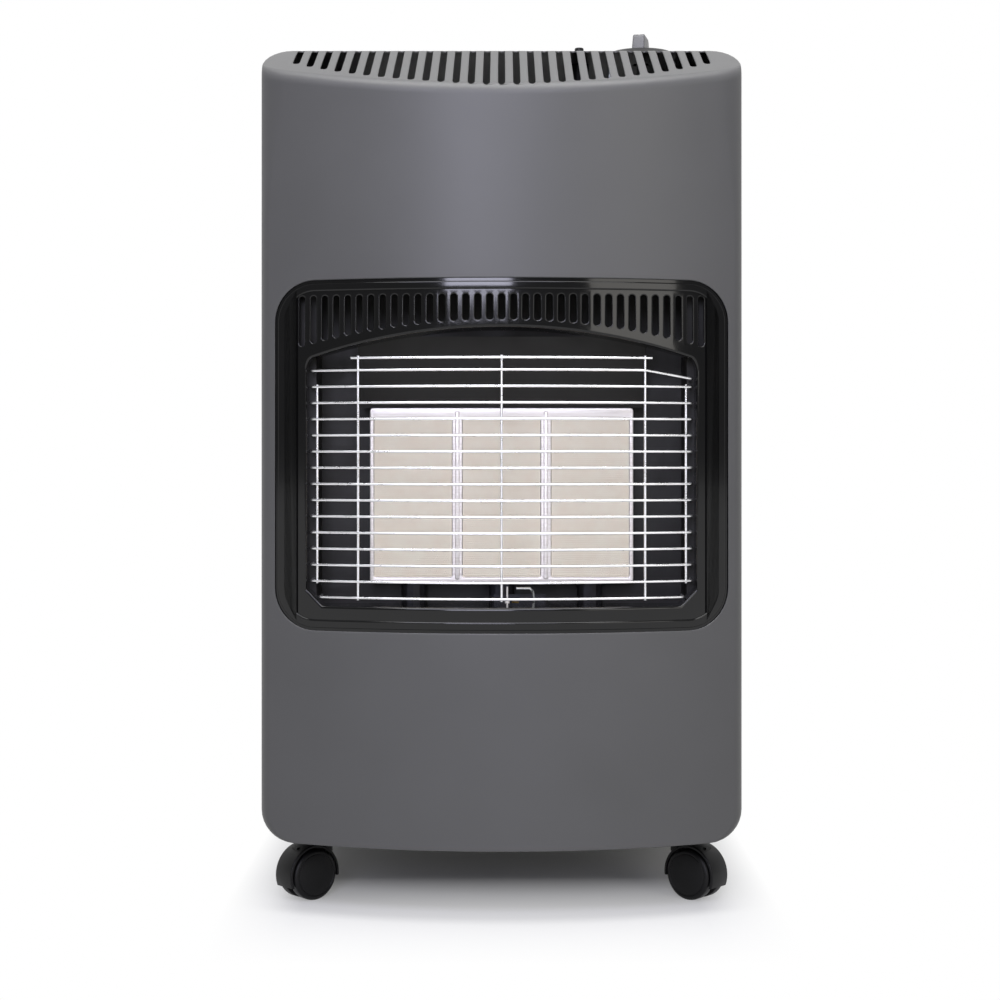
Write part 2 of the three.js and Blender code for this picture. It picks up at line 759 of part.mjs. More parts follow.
function makeBurner() {
  const frameBack = burnerFront + frameThickness;
  const frameHalf = plaqueX(plaqueCount - 1) + plaqueWidth / 2 + frameSide;
  const top = plaqueBottom + plaqueHeight;
  const plate = block(-frameHalf, frameHalf, burnerFront, frameBack, plaqueBottom - frameFoot, top + frameTop);
  const windows = [];
  for (let i = 0; i < plaqueCount; i += 1) {
    const x = plaqueX(i);
    const half = plaqueWidth / 2;
    windows.push(block(x - half, x + half, burnerFront - 5, frameBack + 5, plaqueBottom, top));
    const tile = block(
      x - half + gap, x + half - gap, burnerFront + 0.5, burnerFront + 0.5 + plaqueThickness,
      plaqueBottom + gap, top - gap,
    );
    addMesh(`ceramic_plaque_${i + 1}`, tile, ceramic);
    makeBurnerBody(i, x, frameBack + gap);
  }
  addMesh('burner_frame', cut(plate, windows), frameSteel);
}

function makeBurnerBody(i, x, front) {
  const half = plaqueWidth / 2 + bodyRim;
  const low = plaqueBottom - bodyRim;
  const high = plaqueBottom + plaqueHeight + bodyRim;
  const shell = block(x - half, x + half, front, burnerBack, low, high);
  const plenum = block(
    x - half + bodySheet, x + half - bodySheet, front - 5, burnerBack - bodySheet, low + bodySheet, high - bodySheet,
  );
  const pipe = rod(venturiRadius, 'z', fireboxBottom - 6, low + 1, x, venturiY);
  const bore = rod(venturiBore, 'z', fireboxBottom - 10, low + 10, x, venturiY);
  addMesh(`burner_body_${i + 1}`, cut(join([shell, pipe]), [plenum, bore]), galvanised);
}

function makePilot() {
  const plate = block(pilotX - 12, pilotX + 34, pilotY - 9, pilotY + 16, pilotPlate, pilotPlate + 1.5);
  const up = block(pilotX - 12, pilotX + 34, pilotY + 14.5, pilotY + 16, pilotPlate, pilotPlate + 16);
  const places = [pilotX, pilotX + pilotBurnerStep, pilotX + thermocoupleStep];
  const holes = places.map((x) => rod(2 + gap, 'z', pilotPlate - 5, pilotPlate + 5, x, pilotY));
  addMesh('pilot_bracket', cut(join([plate, up]), holes), galvanised);
  const stand = pilotPlate + 1.5 + gap;
  const foot = fireboxBottom - 4;
  const electrode = join([
    rod(2, 'z', foot, stand + 10, places[0], pilotY),
    rod(2.8, 'z', stand, stand + 4, places[0], pilotY),
    rod(0.8, 'z', stand, stand + 22, places[0], pilotY, 6),
  ]);
  addMesh('ignition_electrode', electrode, whiteCeramic);
  const nozzle = join([
    rod(2, 'z', foot, stand + 3, places[1], pilotY),
    rod(3.6, 'z', stand, stand + 9, places[1], pilotY, 6),
  ]);
  addMesh('pilot_burner', nozzle, brass);
  const probe = join([
    rod(2, 'z', foot, stand + 4, places[2], pilotY),
    rod(4.5, 'z', stand, stand + 3.5, places[2], pilotY),
    sweep([
      new THREE.Vector3(places[2], pilotY, stand + 2),
      new THREE.Vector3(places[2] - 1.5, pilotY, stand + 18),
      new THREE.Vector3(places[2] - 4, pilotY, stand + 20.5),
      new THREE.Vector3(places[1] + 1, pilotY, stand + 20.5),
    ], 1.1, 6),
  ]);
  addMesh('thermocouple', probe, chrome);
}

// ---- Gas train and controls ----

function makeGasTrain() {
  const reach = plaqueX(plaqueCount - 1) + 16;
  const rail = rod(manifoldRadius, 'x', -reach, reach, venturiY, manifoldHeight, 8);
  const injectors = [];
  for (let i = 0; i < plaqueCount; i += 1) {
    injectors.push(rod(injectorRadius, 'z', manifoldHeight, fireboxBottom - 2, plaqueX(i), venturiY, 8));
  }
  addMesh('gas_manifold', join([rail, ...injectors]), brass);

  const lane = fireboxWidth / 2 + 26;
  const valveZ = valveTop - valveHeight / 2;
  const side = valveX + valveWidth / 2;
  addMesh('feed_pipe', tube([
    [reach + gap, venturiY, manifoldHeight],
    [reach + 30, venturiY, manifoldHeight],
    [lane, venturiY, manifoldHeight + 30],
    [lane, venturiY, shieldTop - 40],
    [lane, venturiY + 10, shieldTop + 14],
    [lane - 4, valveY - 18, valveZ - 8],
    [side + 20, valveY, valveZ],
    [side + gap, valveY, valveZ],
  ], feedRadius, 6, 28), aluminium);

  const valveBody = block(
    valveX - valveWidth / 2, side, valveY - valveDepth / 2, valveY + valveDepth / 2,
    valveTop - valveHeight, valveTop,
  );
  const neck = rod(10, 'z', valveTop - 2, valveTop + bracketSheet + 4, valveX, valveY);
  const bore = rod(spindleRadius + gap, 'z', valveTop - 20, valveTop + 10, valveX, valveY);
  addMesh('gas_valve', cut(join([valveBody, neck]), [bore]), brass);

  const inletStart = valveY + valveDepth / 2 + gap;
  const barbs = [0, 1, 2].map((i) => rod(
    inletRadius + 1, 'y', inletStart + 12 + i * 7, inletStart + 15 + i * 7, valveX, valveZ, 8,
  ));
  const nozzle = join([
    rod(inletRadius, 'y', inletStart, inletStart + inletLength, valveX, valveZ, 8),
    rod(inletRadius + 3, 'y', inletStart, inletStart + 7, valveX, valveZ, 6),
    ...barbs,
  ]);
  const hoseBore = rod(inletRadius - 2, 'y', inletStart + 8, inletStart + inletLength + 5, valveX, valveZ, 8);
  addMesh('hose_nozzle', cut(nozzle, [hoseBore]), brass);

  const plateBottom = valveTop + gap;
  const legTop = topHeight - sheet - gap;
  const half = valveWidth / 2 + 10;
  const depthHalf = valveDepth / 2;
  const plate = block(
    valveX - half, valveX + half, valveY - depthHalf, valveY + depthHalf, plateBottom, plateBottom + bracketSheet,
  );
  const legs = [-1, 1].map((s) => block(
    valveX + s * half - (s > 0 ? bracketSheet : 0), valveX + s * half + (s > 0 ? 0 : bracketSheet),
    valveY - depthHalf, valveY + depthHalf, plateBottom, legTop,
  ));
  const hole = rod(10 + gap, 'z', plateBottom - 5, plateBottom + 8, valveX, valveY);
  addMesh('valve_bracket', cut(join([plate, ...legs]), [hole]), galvanised);
}

function makeLeads() {
  const lane = fireboxWidth / 2 + 14;
  const foot = fireboxBottom - 4 - gap;
  const valveZ = valveTop - valveHeight;
  const lead = (name, startX, low, y, laneX, end, radius, material) => {
    const points = [
      [startX, pilotY, foot],
      [startX, pilotY, foot - 6],
      [startX + 12, y, low],
      [laneX - 14, y, low],
      [laneX, y, low + 14],
      [laneX, y, shieldTop - 30],
      [laneX - 4, y + 14, shieldTop + 8],
      ...end,
    ];
    addMesh(name, tube(points, radius, 5, 26), material);
  };
  const front = valveY - valveDepth / 2;
  lead('pilot_tube', pilotX + pilotBurnerStep, fireboxBottom - 42, pilotY + 16, lane, [
    [valveX + 8, front + 6, valveZ - 22],
    [valveX + 8, valveY - 6, valveZ - 8],
    [valveX + 8, valveY - 6, valveZ - gap],
  ], pilotTubeRadius, aluminium);
  lead('thermocouple_lead', pilotX + thermocoupleStep, fireboxBottom - 34, pilotY + 8, lane, [
    [valveX - 8, front - 4, valveZ - 30],
    [valveX - 8, valveY + 4, valveZ - 12],
    [valveX - 8, valveY + 4, valveZ - gap],
  ], leadRadius, brass);
  lead('ignition_lead', pilotX, fireboxBottom - 50, pilotY, lane, [
    [piezoX + 30, valveY - 44, topHeight - piezoLength - 29],
    [piezoX, valveY, topHeight - piezoLength - 16],
    [piezoX, valveY, topHeight - piezoLength - gap],
  ], leadRadius, whiteCeramic);
}

function makeControls() {
  const seat = topHeight + gap;
  const crown = seat + bezelHeight;
  const hole = spindleRadius + 5;
  const recess = knobRadius + bezelRoom;
  const dome = turned([
    [hole, seat], [bezelRadius, seat], [bezelRadius, seat + 1.5], [bezelRadius * 0.86, seat + 4.5],
    [bezelRadius * 0.75, seat + 7.5], [recess + 1.5, crown - 1], [recess + 0.5, crown - 1],
    [recess, seat + bezelFloor], [hole, seat + bezelFloor], [hole, seat],
  ], 24).rotateX(Math.PI / 2).translate(valveX, valveY, 0);
  addMesh('control_bezel', solidOf(dome), blackPlastic);

  const knobBottom = seat + bezelFloor + knobTravel + 0.5;
  const spindleTop = knobBottom + 7;
  const spindle = rod(spindleRadius, 'z', valveTop - 14, spindleTop, valveX, valveY);
  addMesh('valve_spindle', spindle, chrome);

  const knob = new THREE.Group();
  knob.position.set(valveX, valveY, 0);
  knob.rotation.z = knobYaw;
  const knobTop = knobBottom + knobHeight;
  const skirt = rod(knobRadius, 'z', knobBottom, knobBottom + knobSkirt, 0, 0, 24);
  const bladeShape = polygon([
    [-knobRadius + 3, knobBottom + 1], [knobRadius - 3, knobBottom + 1],
    [knobRadius - 5, knobTop - 2], [knobRadius - 9, knobTop], [-knobRadius + 9, knobTop], [-knobRadius + 5, knobTop - 2],
  ]);
  const blade = prism(bladeShape, 'x', -bladeThickness / 2, bladeThickness / 2);
  const socket = rod(spindleRadius + gap, 'z', knobBottom - 5, spindleTop + gap, 0, 0);
  addMesh('control_knob', cut(join([skirt, blade]), [socket]), greyPlastic, knob);
  heater.add(knob);

  const body = join([
    rod(piezoBodyRadius, 'z', topHeight - piezoLength, topHeight + 3, piezoX, valveY, 20),
    rod(piezoBodyRadius + 1.5, 'z', seat, topHeight + 3, piezoX, valveY, 20),
  ]);
  const well = rod(buttonRadius + gap, 'z', topHeight - 14, topHeight + 10, piezoX, valveY, 20);
  addMesh('piezo_igniter', cut(body, [well]), whiteCeramic);
  const button = rod(buttonRadius, 'z', topHeight - 14 + buttonTravel + 1, topHeight + buttonProud, piezoX, valveY, 20);
  addMesh('piezo_button', button, blackPlastic);
}

// ---- Base tray and casters ----

const casters = [
  ['front_left', -frontCasterX, frontCasterY, Math.PI + casterYaw],
  ['front_right', frontCasterX, frontCasterY, -casterYaw],
  ['rear_left', -rearCasterX, rearCasterY, Math.PI / 2 + 0.5],
  ['rear_right', rearCasterX, rearCasterY, Math.PI / 2 - 0.4],
];

function makeBaseTray() {
  const inset = sideInset + sheet + gap;
  const back = bodyRear - 4;
  const floorTop = trayBottom + traySheet;
  const outer = bowBlock(inset, trayBottom, trayRim, back).intersect(frontOutline(inset, trayBottom, back));
  const inner = bowBlock(inset + traySheet, floorTop, trayRim + 5, back + 10);
  const hollow = inner.intersect(frontOutline(inset + traySheet, floorTop, back + 20));
  const collars = casters.map(([, x, y]) => rod(
    collarRadius, 'z', trayBottom - collarHeight, trayBottom + 0.5, x, y,
  ));
  const bores = casters.map(([, x, y]) => rod(stemRadius + gap, 'z', 0, 90, x, y));
  addMesh('base_tray', cut(join([outer, ...collars]), [hollow, ...bores]), blackEnamel);
}

function wheelGeometry(side) {
  const inner = wheelGap / 2;
  const outer = inner + wheelWidth;
  const bore = axleRadius + gap + 0.1;
  const profile = [
    [0, outer + wheelDome], [wheelRadius * 0.55, outer + wheelDome * 0.7], [wheelRadius * 0.86, outer],
    [wheelRadius, outer - 3.5], [wheelRadius, inner],
    [bore, inner], [bore, outer - 2], [0, outer - 2],
  ];
  const wheel = turned(profile.reverse(), 16);
  if (side < 0) wheel.rotateX(Math.PI);
  return wheel;
}

function casterHousing() {
  const web = wheelGap / 2 - gap;
  const hoodInner = wheelRadius + 1.6;
  const hoodOuter = hoodInner + hoodThickness;
  const half = wheelGap / 2 + wheelWidth - 2;
  const cap = rod(hoodOuter, 'y', -half, half, casterTrail, wheelRadius, 20);
  const room = rod(hoodInner, 'y', -half - 5, half + 5, casterTrail, wheelRadius, 20);
  const ahead = block(casterTrail, 60, -60, 60, -10, hoodFootAhead);
  const behind = block(-60, casterTrail + 0.1, -60, 60, -10, hoodFootBehind);
  const disc = rod(wheelRadius - 4, 'y', -web, web, casterTrail, wheelRadius, 12);
  const neck = block(casterTrail - 14, casterTrail + 14, -web, web, wheelRadius, wheelRadius + hoodInner + 0.5);
  const bossTop = trayBottom - collarHeight - 1.6;
  const boss = rod(10, 'z', wheelRadius + hoodOuter * 0.65, bossTop, 0, 0, 12);
  const stemTop = trayBottom + traySheet + 4;
  const stem = rod(stemRadius, 'z', bossTop - 5, stemTop, 0, 0, 12);
  const wheelRoom = join([-1, 1].map((s) => {
    const [a, b] = s > 0 ? [wheelGap / 2 - gap, half + 8] : [-half - 8, -wheelGap / 2 + gap];
    return rod(hoodInner, 'y', a, b, casterTrail, wheelRadius, 20);
  }));
  const solid = join([cut(cap, [room, ahead, behind]), neck, boss, stem]);
  const bore = rod(axleRadius + gap, 'y', -40, 40, casterTrail, wheelRadius);
  return cut(join([cut(solid, [wheelRoom]), disc]), [bore]);
}

function makeCasters() {
  for (const [place, x, y, yaw] of casters) {
    const caster = new THREE.Group();
    caster.position.set(x, y, 0);
    caster.rotation.z = yaw;
    addMesh(`caster_housing_${place}`, casterHousing(), blackPlastic, caster);
    const reach = wheelGap / 2 + wheelWidth - 2 - gap;
    const axle = rod(axleRadius, 'y', -reach, reach, casterTrail, wheelRadius);
    addMesh(`caster_axle_${place}`, axle, chrome, caster);
    for (const [name, side] of [['a', -1], ['b', 1]]) {
      const wheel = addMesh(`caster_wheel_${place}_${name}`, wheelGeometry(side), blackPlastic, caster);
      wheel.position.set(casterTrail, 0, wheelRadius);
    }
    heater.add(caster);
  }
}

makeFrontPanel();
makeSidePanels();
makeTopPanel();
makeBackPanel();
makeRearCover();
makeBaseTray();
makeBurnerSurround();
makeFirebox();
makeDeflector();
makeHeatShield();
makeBurner();
makeWireGuard();
makePilot();
makeGasTrain();
makeLeads();
makeControls();
makeCasters();

export default heater;
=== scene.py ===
"""Looks of a portable gas cabinet heater: a bowed steel cabinet on casters with a plaque burner.

Metres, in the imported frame: X to the right seen from the front, +Y to the back, +Z up,
with the origin on the floor, midway across the width and the depth.
"""

import json
import math

import bmesh
import bpy
from mathutils import Matrix, Vector


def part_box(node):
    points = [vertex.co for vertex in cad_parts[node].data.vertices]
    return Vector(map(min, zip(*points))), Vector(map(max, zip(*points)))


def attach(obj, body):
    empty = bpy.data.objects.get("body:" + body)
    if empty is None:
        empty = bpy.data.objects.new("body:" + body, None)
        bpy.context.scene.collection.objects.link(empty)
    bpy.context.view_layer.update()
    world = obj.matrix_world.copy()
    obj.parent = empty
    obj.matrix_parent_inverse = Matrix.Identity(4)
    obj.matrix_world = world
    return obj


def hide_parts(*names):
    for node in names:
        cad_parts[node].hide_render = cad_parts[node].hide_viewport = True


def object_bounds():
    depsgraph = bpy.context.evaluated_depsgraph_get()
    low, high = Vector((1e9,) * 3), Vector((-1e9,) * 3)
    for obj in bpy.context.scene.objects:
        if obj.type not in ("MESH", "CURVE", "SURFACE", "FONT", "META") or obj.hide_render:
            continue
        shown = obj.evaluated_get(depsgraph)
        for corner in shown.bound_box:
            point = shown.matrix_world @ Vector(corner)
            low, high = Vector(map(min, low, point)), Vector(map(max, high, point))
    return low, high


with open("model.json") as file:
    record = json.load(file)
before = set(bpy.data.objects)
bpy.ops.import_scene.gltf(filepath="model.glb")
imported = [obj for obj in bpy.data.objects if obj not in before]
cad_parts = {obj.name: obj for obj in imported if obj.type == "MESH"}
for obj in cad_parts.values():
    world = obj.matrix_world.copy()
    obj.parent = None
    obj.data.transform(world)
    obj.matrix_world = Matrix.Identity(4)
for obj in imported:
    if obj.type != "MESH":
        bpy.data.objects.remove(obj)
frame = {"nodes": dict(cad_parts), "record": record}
cad_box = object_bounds()

MM = 0.001
SHEET = 1.2 * MM

# ---- Camera, from the photograph's perspective ----

PHOTO_SIZE = 1000
FOCAL_PIXELS = 1953
CENTRE_COLUMN = 501.6
HORIZON_ROW = 445
EYE_HEIGHT = 0.406
EYE_DISTANCE = 1.87


def make_camera():
    data = bpy.data.cameras.new("photo_camera")
    camera = bpy.data.objects.new("photo_camera", data)
    bpy.context.scene.collection.objects.link(camera)
    data.lens = data.sensor_width * FOCAL_PIXELS / PHOTO_SIZE
    data.shift_x = (PHOTO_SIZE / 2 - CENTRE_COLUMN) / PHOTO_SIZE
    data.shift_y = (HORIZON_ROW - PHOTO_SIZE / 2) / PHOTO_SIZE
    camera.location = (0, -EYE_DISTANCE, EYE_HEIGHT)
    camera.rotation_euler = (math.radians(90), 0, 0)
    bpy.context.scene.camera = camera


make_camera()

# ---- Bench tools: each one is a step that is done by hand in Blender ----


def deselect():
    if bpy.context.mode != "OBJECT":
        bpy.ops.object.mode_set(mode="OBJECT")
    bpy.ops.object.select_all(action="DESELECT")


def take(piece):
    """Leaves object mode with only this piece selected."""
    deselect()
    piece.select_set(True)
    bpy.context.view_layer.objects.active = piece
    return piece


def named(name):
    """Names the new piece and puts its place into its mesh, so that its object is at the origin."""
    piece = bpy.context.object
    piece.name = name
    piece.data.name = name
    take(piece)
    bpy.ops.object.transform_apply(location=True, rotation=True, scale=True)
    return piece


def block(name, low, high):
    deselect()
    low, high = Vector(low), Vector(high)
    bpy.ops.mesh.primitive_cube_add(size=1, location=(low + high) / 2, scale=high - low)
    return named(name)


def rod(name, radius, start, end, sides=32):
    """A cylinder from start to end."""
    deselect()
    start, end = Vector(start), Vector(end)
    bpy.ops.mesh.primitive_cylinder_add(
        vertices=sides,
        radius=radius,
        depth=(end - start).length,
        location=(start + end) / 2,
        rotation=(end - start).to_track_quat("Z", "Y").to_euler(),
    )
    return named(name)


def sheet(name, across, along, place):
    """A grid of across by along points, each of them put where place(i, j) says."""
    deselect()
    bpy.ops.mesh.primitive_grid_add(x_subdivisions=across - 1, y_subdivisions=along - 1, size=1)
    piece = named(name)
    for vertex in piece.data.vertices:
        vertex.co = place(vertex.index % across, vertex.index // across)
    return piece


def pick(piece, kind, test):
    """Enters edit mode with only those verts, edges or faces selected that pass the test."""
    take(piece)
    bpy.ops.object.mode_set(mode="EDIT")
    bpy.ops.mesh.select_mode(type={"verts": "VERT", "edges": "EDGE", "faces": "FACE"}[kind])
    bpy.ops.mesh.select_all(action="DESELECT")
    mesh = bmesh.from_edit_mesh(piece.data)
    mesh.normal_update()
    count = 0
    for element in getattr(mesh, kind):
        if test(element):
            element.select_set(True)
            count += 1
    mesh.select_flush_mode()
    bmesh.update_edit_mesh(piece.data)
    return count


def done():
    bpy.ops.object.mode_set(mode="OBJECT")


def bevel(piece, test, width, steps=3):
    """Rounds the edges that pass the test."""
    if pick(piece, "edges", test):
        bpy.ops.mesh.bevel(
            offset=width, segments=steps, profile=0.5, affect="EDGES", clamp_overlap=False
        )
    done()
    return piece


def merge(piece):
    """Merges points that lie together."""
    pick(piece, "verts", lambda vertex: True)
    bpy.ops.mesh.remove_doubles(threshold=0.01 * MM)
    done()
    return piece


def modify(piece, kind, **settings):
    take(piece)
    modifier = piece.modifiers.new(kind.title(), kind)
    for key, value in settings.items():
        setattr(modifier, key, value)
    bpy.ops.object.modifier_apply(modifier=modifier.name)
    return piece


def combine(piece, tool, operation="DIFFERENCE"):
    """Cuts the tool from the piece, or joins or intersects the two, and clears the tool away."""
    modify(piece, "BOOLEAN", operation=operation, object=tool, solver="EXACT")
    bpy.data.objects.remove(tool, do_unlink=True)
    return piece


def copy_of(piece, name, move=(0, 0, 0), turn=None):
    twin = piece.copy()
    twin.data = piece.data.copy()
    twin.name = name
    bpy.context.scene.collection.objects.link(twin)
    twin.data.transform(Matrix.Translation(move) @ (turn or Matrix.Identity(4)))
    return twin


def weld(name, pieces):
    """Joins pieces into one object."""
    take(pieces[0])
    for piece in pieces[1:]:
        piece.select_set(True)
    bpy.ops.object.join()
    pieces[0].name = name
    pieces[0].data.name = name
    return pieces[0]


def along(edge, axis):
    """Whether the edge runs along this axis."""
    first, second = (vertex.co for vertex in edge.verts)
    line = (second - first).normalized()
    return abs(line[axis]) > 0.999


def wire(name, points, radius, bend=0.0):
    """A round wire through the points, with its sharp corners bent to a radius."""
    points = [Vector(point) for point in points]
    nearly_straight, bend_steps, most_of_leg = math.radians(86), 5, 0.45
    path = [points[0]]
    for behind, point, ahead in zip(points, points[1:], points[2:]):
        before, after = behind - point, ahead - point
        half = before.angle(after) / 2
        if bend == 0 or half > nearly_straight:
            path.append(point)
            continue
        longest = min(before.length * most_of_leg, after.length * most_of_leg)
        reach = min(bend / math.tan(half), longest)
        start, end = point + before.normalized() * reach, point + after.normalized() * reach
        for step in range(bend_steps + 1):
            t = step / bend_steps
            path.append(start * (1 - t) ** 2 + point * 2 * t * (1 - t) + end * t**2)
    path.append(points[-1])
    curve = bpy.data.curves.new(name, "CURVE")
    curve.dimensions = "3D"
    curve.bevel_depth = radius
    curve.bevel_resolution = 2
    curve.use_fill_caps = True
    spline = curve.splines.new("POLY")
    spline.points.add(len(path) - 1)
    for point, place in zip(spline.points, path):
        point.co = (*place, 1)
    piece = bpy.data.objects.new(name, curve)
    bpy.context.scene.collection.objects.link(piece)
    take(piece)
    bpy.ops.object.convert(target="MESH")
    piece = bpy.context.object
    piece.data.name = name
    return piece


def lathe(name, profile, sides=48):
    """A closed round form: the profile of (radius, height) points spun about the Z axis."""
    deselect()
    bpy.ops.mesh.primitive_plane_add(size=1)
    piece = named(name)
    pick(piece, "verts", lambda vertex: vertex.index > 0)
    bpy.ops.mesh.delete(type="VERT")
    done()
    piece.data.vertices[0].co = (profile[0][0], 0, profile[0][1])
    pick(piece, "verts", lambda vertex: True)
    for (radius, height), (next_radius, next_height) in zip(profile, profile[1:]):
        step = (next_radius - radius, 0, next_height - height)
        bpy.ops.mesh.extrude_region_move(TRANSFORM_OT_translate={"value": step})
    bpy.ops.mesh.select_all(action="SELECT")
    bpy.ops.mesh.spin(steps=sides, angle=math.tau, center=(0, 0, 0), axis=(0, 0, 1))
    bpy.ops.mesh.select_all(action="SELECT")
    bpy.ops.mesh.remove_doubles(threshold=1e-6)
    bpy.ops.mesh.normals_make_consistent(inside=False)
    done()
    return piece


def moved(piece, matrix):
    piece.data.transform(matrix)
    return piece


def smooth(piece, degrees=32):
    take(piece)
    bpy.ops.object.shade_smooth_by_angle(angle=math.radians(degrees))
    return piece


def finish(piece, material, body="cabinet", replaces=(), degrees=32, weighted=False):
    """Gives a piece its surface, its finish and the body that it rides on."""
    smooth(piece, degrees)
    if weighted:
        modify(piece, "WEIGHTED_NORMAL", keep_sharp=True, weight=60)
    piece.data.materials.clear()
    piece.data.materials.append(material)
    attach(piece, body)
    if replaces:
        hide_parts(*replaces)
    return piece


# ---- Materials ----


def colour(code):
    """An sRGB hex value as a linear colour."""
    channels = [int(code[i : i + 2], 16) / 255 for i in (1, 3, 5)]
    return [c / 12.92 if c <= 0.04045 else ((c + 0.055) / 1.055) ** 2.4 for c in channels] + [1]


def node(tree, kind, settings=None, **links):
    """Adds a node, sets its properties and inputs, and links sockets into its inputs."""
    made = tree.nodes.new(kind)
    for key, value in (settings or {}).items():
        if isinstance(key, int) or key in made.inputs:
            made.inputs[key].default_value = value
        else:
            setattr(made, key, value)
    for key, socket in links.items():
        place = int(key[1:]) if key[0] == "_" else key.replace("_", " ")
        tree.links.new(socket, made.inputs[place])
    return made


def shader(name, **settings):
    """A new material with its tree, its shader and its object coordinates."""
    material = bpy.data.materials.new(name)
    material.use_nodes = True
    tree = material.node_tree
    surface = tree.nodes["Principled BSDF"]
    for key, value in settings.items():
        surface.inputs[key.replace("_", " ")].default_value = value
    place = node(tree, "ShaderNodeTexCoord").outputs["Object"]
    return material, tree, surface, place


def grain(tree, place, size, detail=3.0, stretch=(1, 1, 1)):
    """Noise whose blotches are about size metres across, longer along a small stretch."""
    spread = node(tree, "ShaderNodeMapping", {"Scale": stretch}, Vector=place)
    return node(
        tree,
        "ShaderNodeTexNoise",
        {"Scale": 1 / size, "Detail": detail, "Roughness": 0.55},
        Vector=spread.outputs["Vector"],
    ).outputs["Fac"]


def colour_over(tree, surface, pattern, first, second, start=0.3, end=0.7):
    """Lets the colour go from first to second where the pattern goes from start to end."""
    share = node(
        tree, "ShaderNodeMapRange", {"From Min": start, "From Max": end}, Value=pattern
    ).outputs["Result"]
    mix = node(
        tree, "ShaderNodeMix", {"data_type": "RGBA", 6: colour(first), 7: colour(second)}, _0=share
    )
    tree.links.new(mix.outputs[2], surface.inputs["Base Color"])


def roughness_over(tree, surface, pattern, low, high, start=0.3, end=0.7):
    """Lets the roughness go from low to high where the pattern goes from start to end."""
    level = node(
        tree,
        "ShaderNodeMapRange",
        {"From Min": start, "From Max": end, "To Min": low, "To Max": high},
        Value=pattern,
    )
    tree.links.new(level.outputs["Result"], surface.inputs["Roughness"])


def relief(tree, surface, height, depth):
    bump = node(tree, "ShaderNodeBump", {"Strength": 1.0, "Distance": depth}, Height=height)
    tree.links.new(bump.outputs["Normal"], surface.inputs["Normal"])


def powder_coat():
    """Polyester powder coat, sprayed and baked on steel: satin, with a fine orange peel."""
    material, tree, surface, place = shader("powder_coated_steel", Roughness=0.42, IOR=1.44)
    cloud = grain(tree, place, 90 * MM, detail=2)
    colour_over(tree, surface, cloud, "#535352", "#565655")
    roughness_over(tree, surface, cloud, 0.40, 0.46)
    relief(tree, surface, grain(tree, place, 1.6 * MM, detail=2), 0.012 * MM)
    return material


def gloss_enamel():
    """Gloss black stove enamel: a deep even black that mirrors the lamps."""
    material, tree, surface, place = shader(
        "gloss_black_enamel", Roughness=0.09, IOR=1.4, Coat_Weight=0.1, Coat_Roughness=0.03
    )
    colour_over(tree, surface, grain(tree, place, 50 * MM, detail=2), "#0c0c0c", "#101010")
    relief(tree, surface, grain(tree, place, 3 * MM, detail=1), 0.004 * MM)
    return material


def heat_paint():
    """Heat-resisting matt black paint on pressed steel, faintly mottled by the flame's heat."""
    material, tree, surface, place = shader("heat_resisting_black", Roughness=0.5, IOR=1.42)
    mottle = grain(tree, place, 30 * MM, detail=4)
    colour_over(tree, surface, mottle, "#0e0d0d", "#191716")
    roughness_over(tree, surface, mottle, 0.42, 0.6)
    relief(tree, surface, grain(tree, place, 1 * MM), 0.02 * MM)
    return material


def plated_wire():
    """Steel wire, drawn and then nickel-plated: bright, with slightly duller patches."""
    material, tree, surface, place = shader("nickel_plated_wire", Metallic=1.0, Roughness=0.28)
    cloud = grain(tree, place, 12 * MM)
    colour_over(tree, surface, cloud, "#ececee", "#fafafc")
    roughness_over(tree, surface, cloud, 0.24, 0.36)
    return material


def burner_steel():
    """Aluminised steel strip, rolled and pressed: pale, with fine rolling lines across."""
    material, tree, surface, place = shader("aluminised_steel", Metallic=0.55, Roughness=0.38)
    lines = grain(tree, place, 1.2 * MM, stretch=(0.04, 1, 1))
    colour_over(tree, surface, lines, "#dcd6d2", "#efebe8")
    roughness_over(tree, surface, lines, 0.32, 0.48)
    relief(tree, surface, lines, 0.01 * MM)
    return material


def plaque_ceramic():
    """Porous cordierite, moulded and fired: chalky cream, with a fine grit."""
    material, tree, surface, place = shader("cordierite_ceramic", Roughness=0.92, IOR=1.45)
    colour_over(tree, surface, grain(tree, place, 20 * MM, detail=4), "#fbefda", "#fff8e4")
    relief(tree, surface, grain(tree, place, 0.5 * MM), 0.03 * MM)
    return material


def zinc_coat():
    """Hot-dip galvanised steel: grey zinc with flat frosty spangles a few millimetres across."""
    material, tree, surface, place = shader("galvanised_steel", Metallic=0.85, Roughness=0.42)
    spangle = node(tree, "ShaderNodeTexVoronoi", {"Scale": 1 / (6 * MM)}, Vector=place)
    level = node(tree, "ShaderNodeSeparateColor", Color=spangle.outputs["Color"])
    colour_over(tree, surface, level.outputs["Red"], "#9fa3a5", "#c2c5c6", 0, 1)
    roughness_over(tree, surface, level.outputs["Green"], 0.32, 0.55, 0, 1)
    return material


def stained_steel():
    """Mild steel that the flame has dulled: nearly black, with brown and blue-grey stains."""
    material, tree, surface, place = shader("heat_stained_steel", Metallic=0.6, Roughness=0.55)
    stain = grain(tree, place, 12 * MM, detail=4)
    colour_over(tree, surface, stain, "#211d1b", "#33343a")
    roughness_over(tree, surface, stain, 0.48, 0.66)
    return material


def turned_metal(name, first, second, rough):
    """Bar stock, turned on a lathe: fine tool marks and slight tarnish."""
    material, tree, surface, place = shader(name, Metallic=1.0, Roughness=rough)
    marks = grain(tree, place, 0.8 * MM, stretch=(1, 1, 0.3))
    colour_over(tree, surface, grain(tree, place, 8 * MM), first, second)
    roughness_over(tree, surface, marks, rough * 0.8, rough * 1.3)
    relief(tree, surface, marks, 0.008 * MM)
    return material


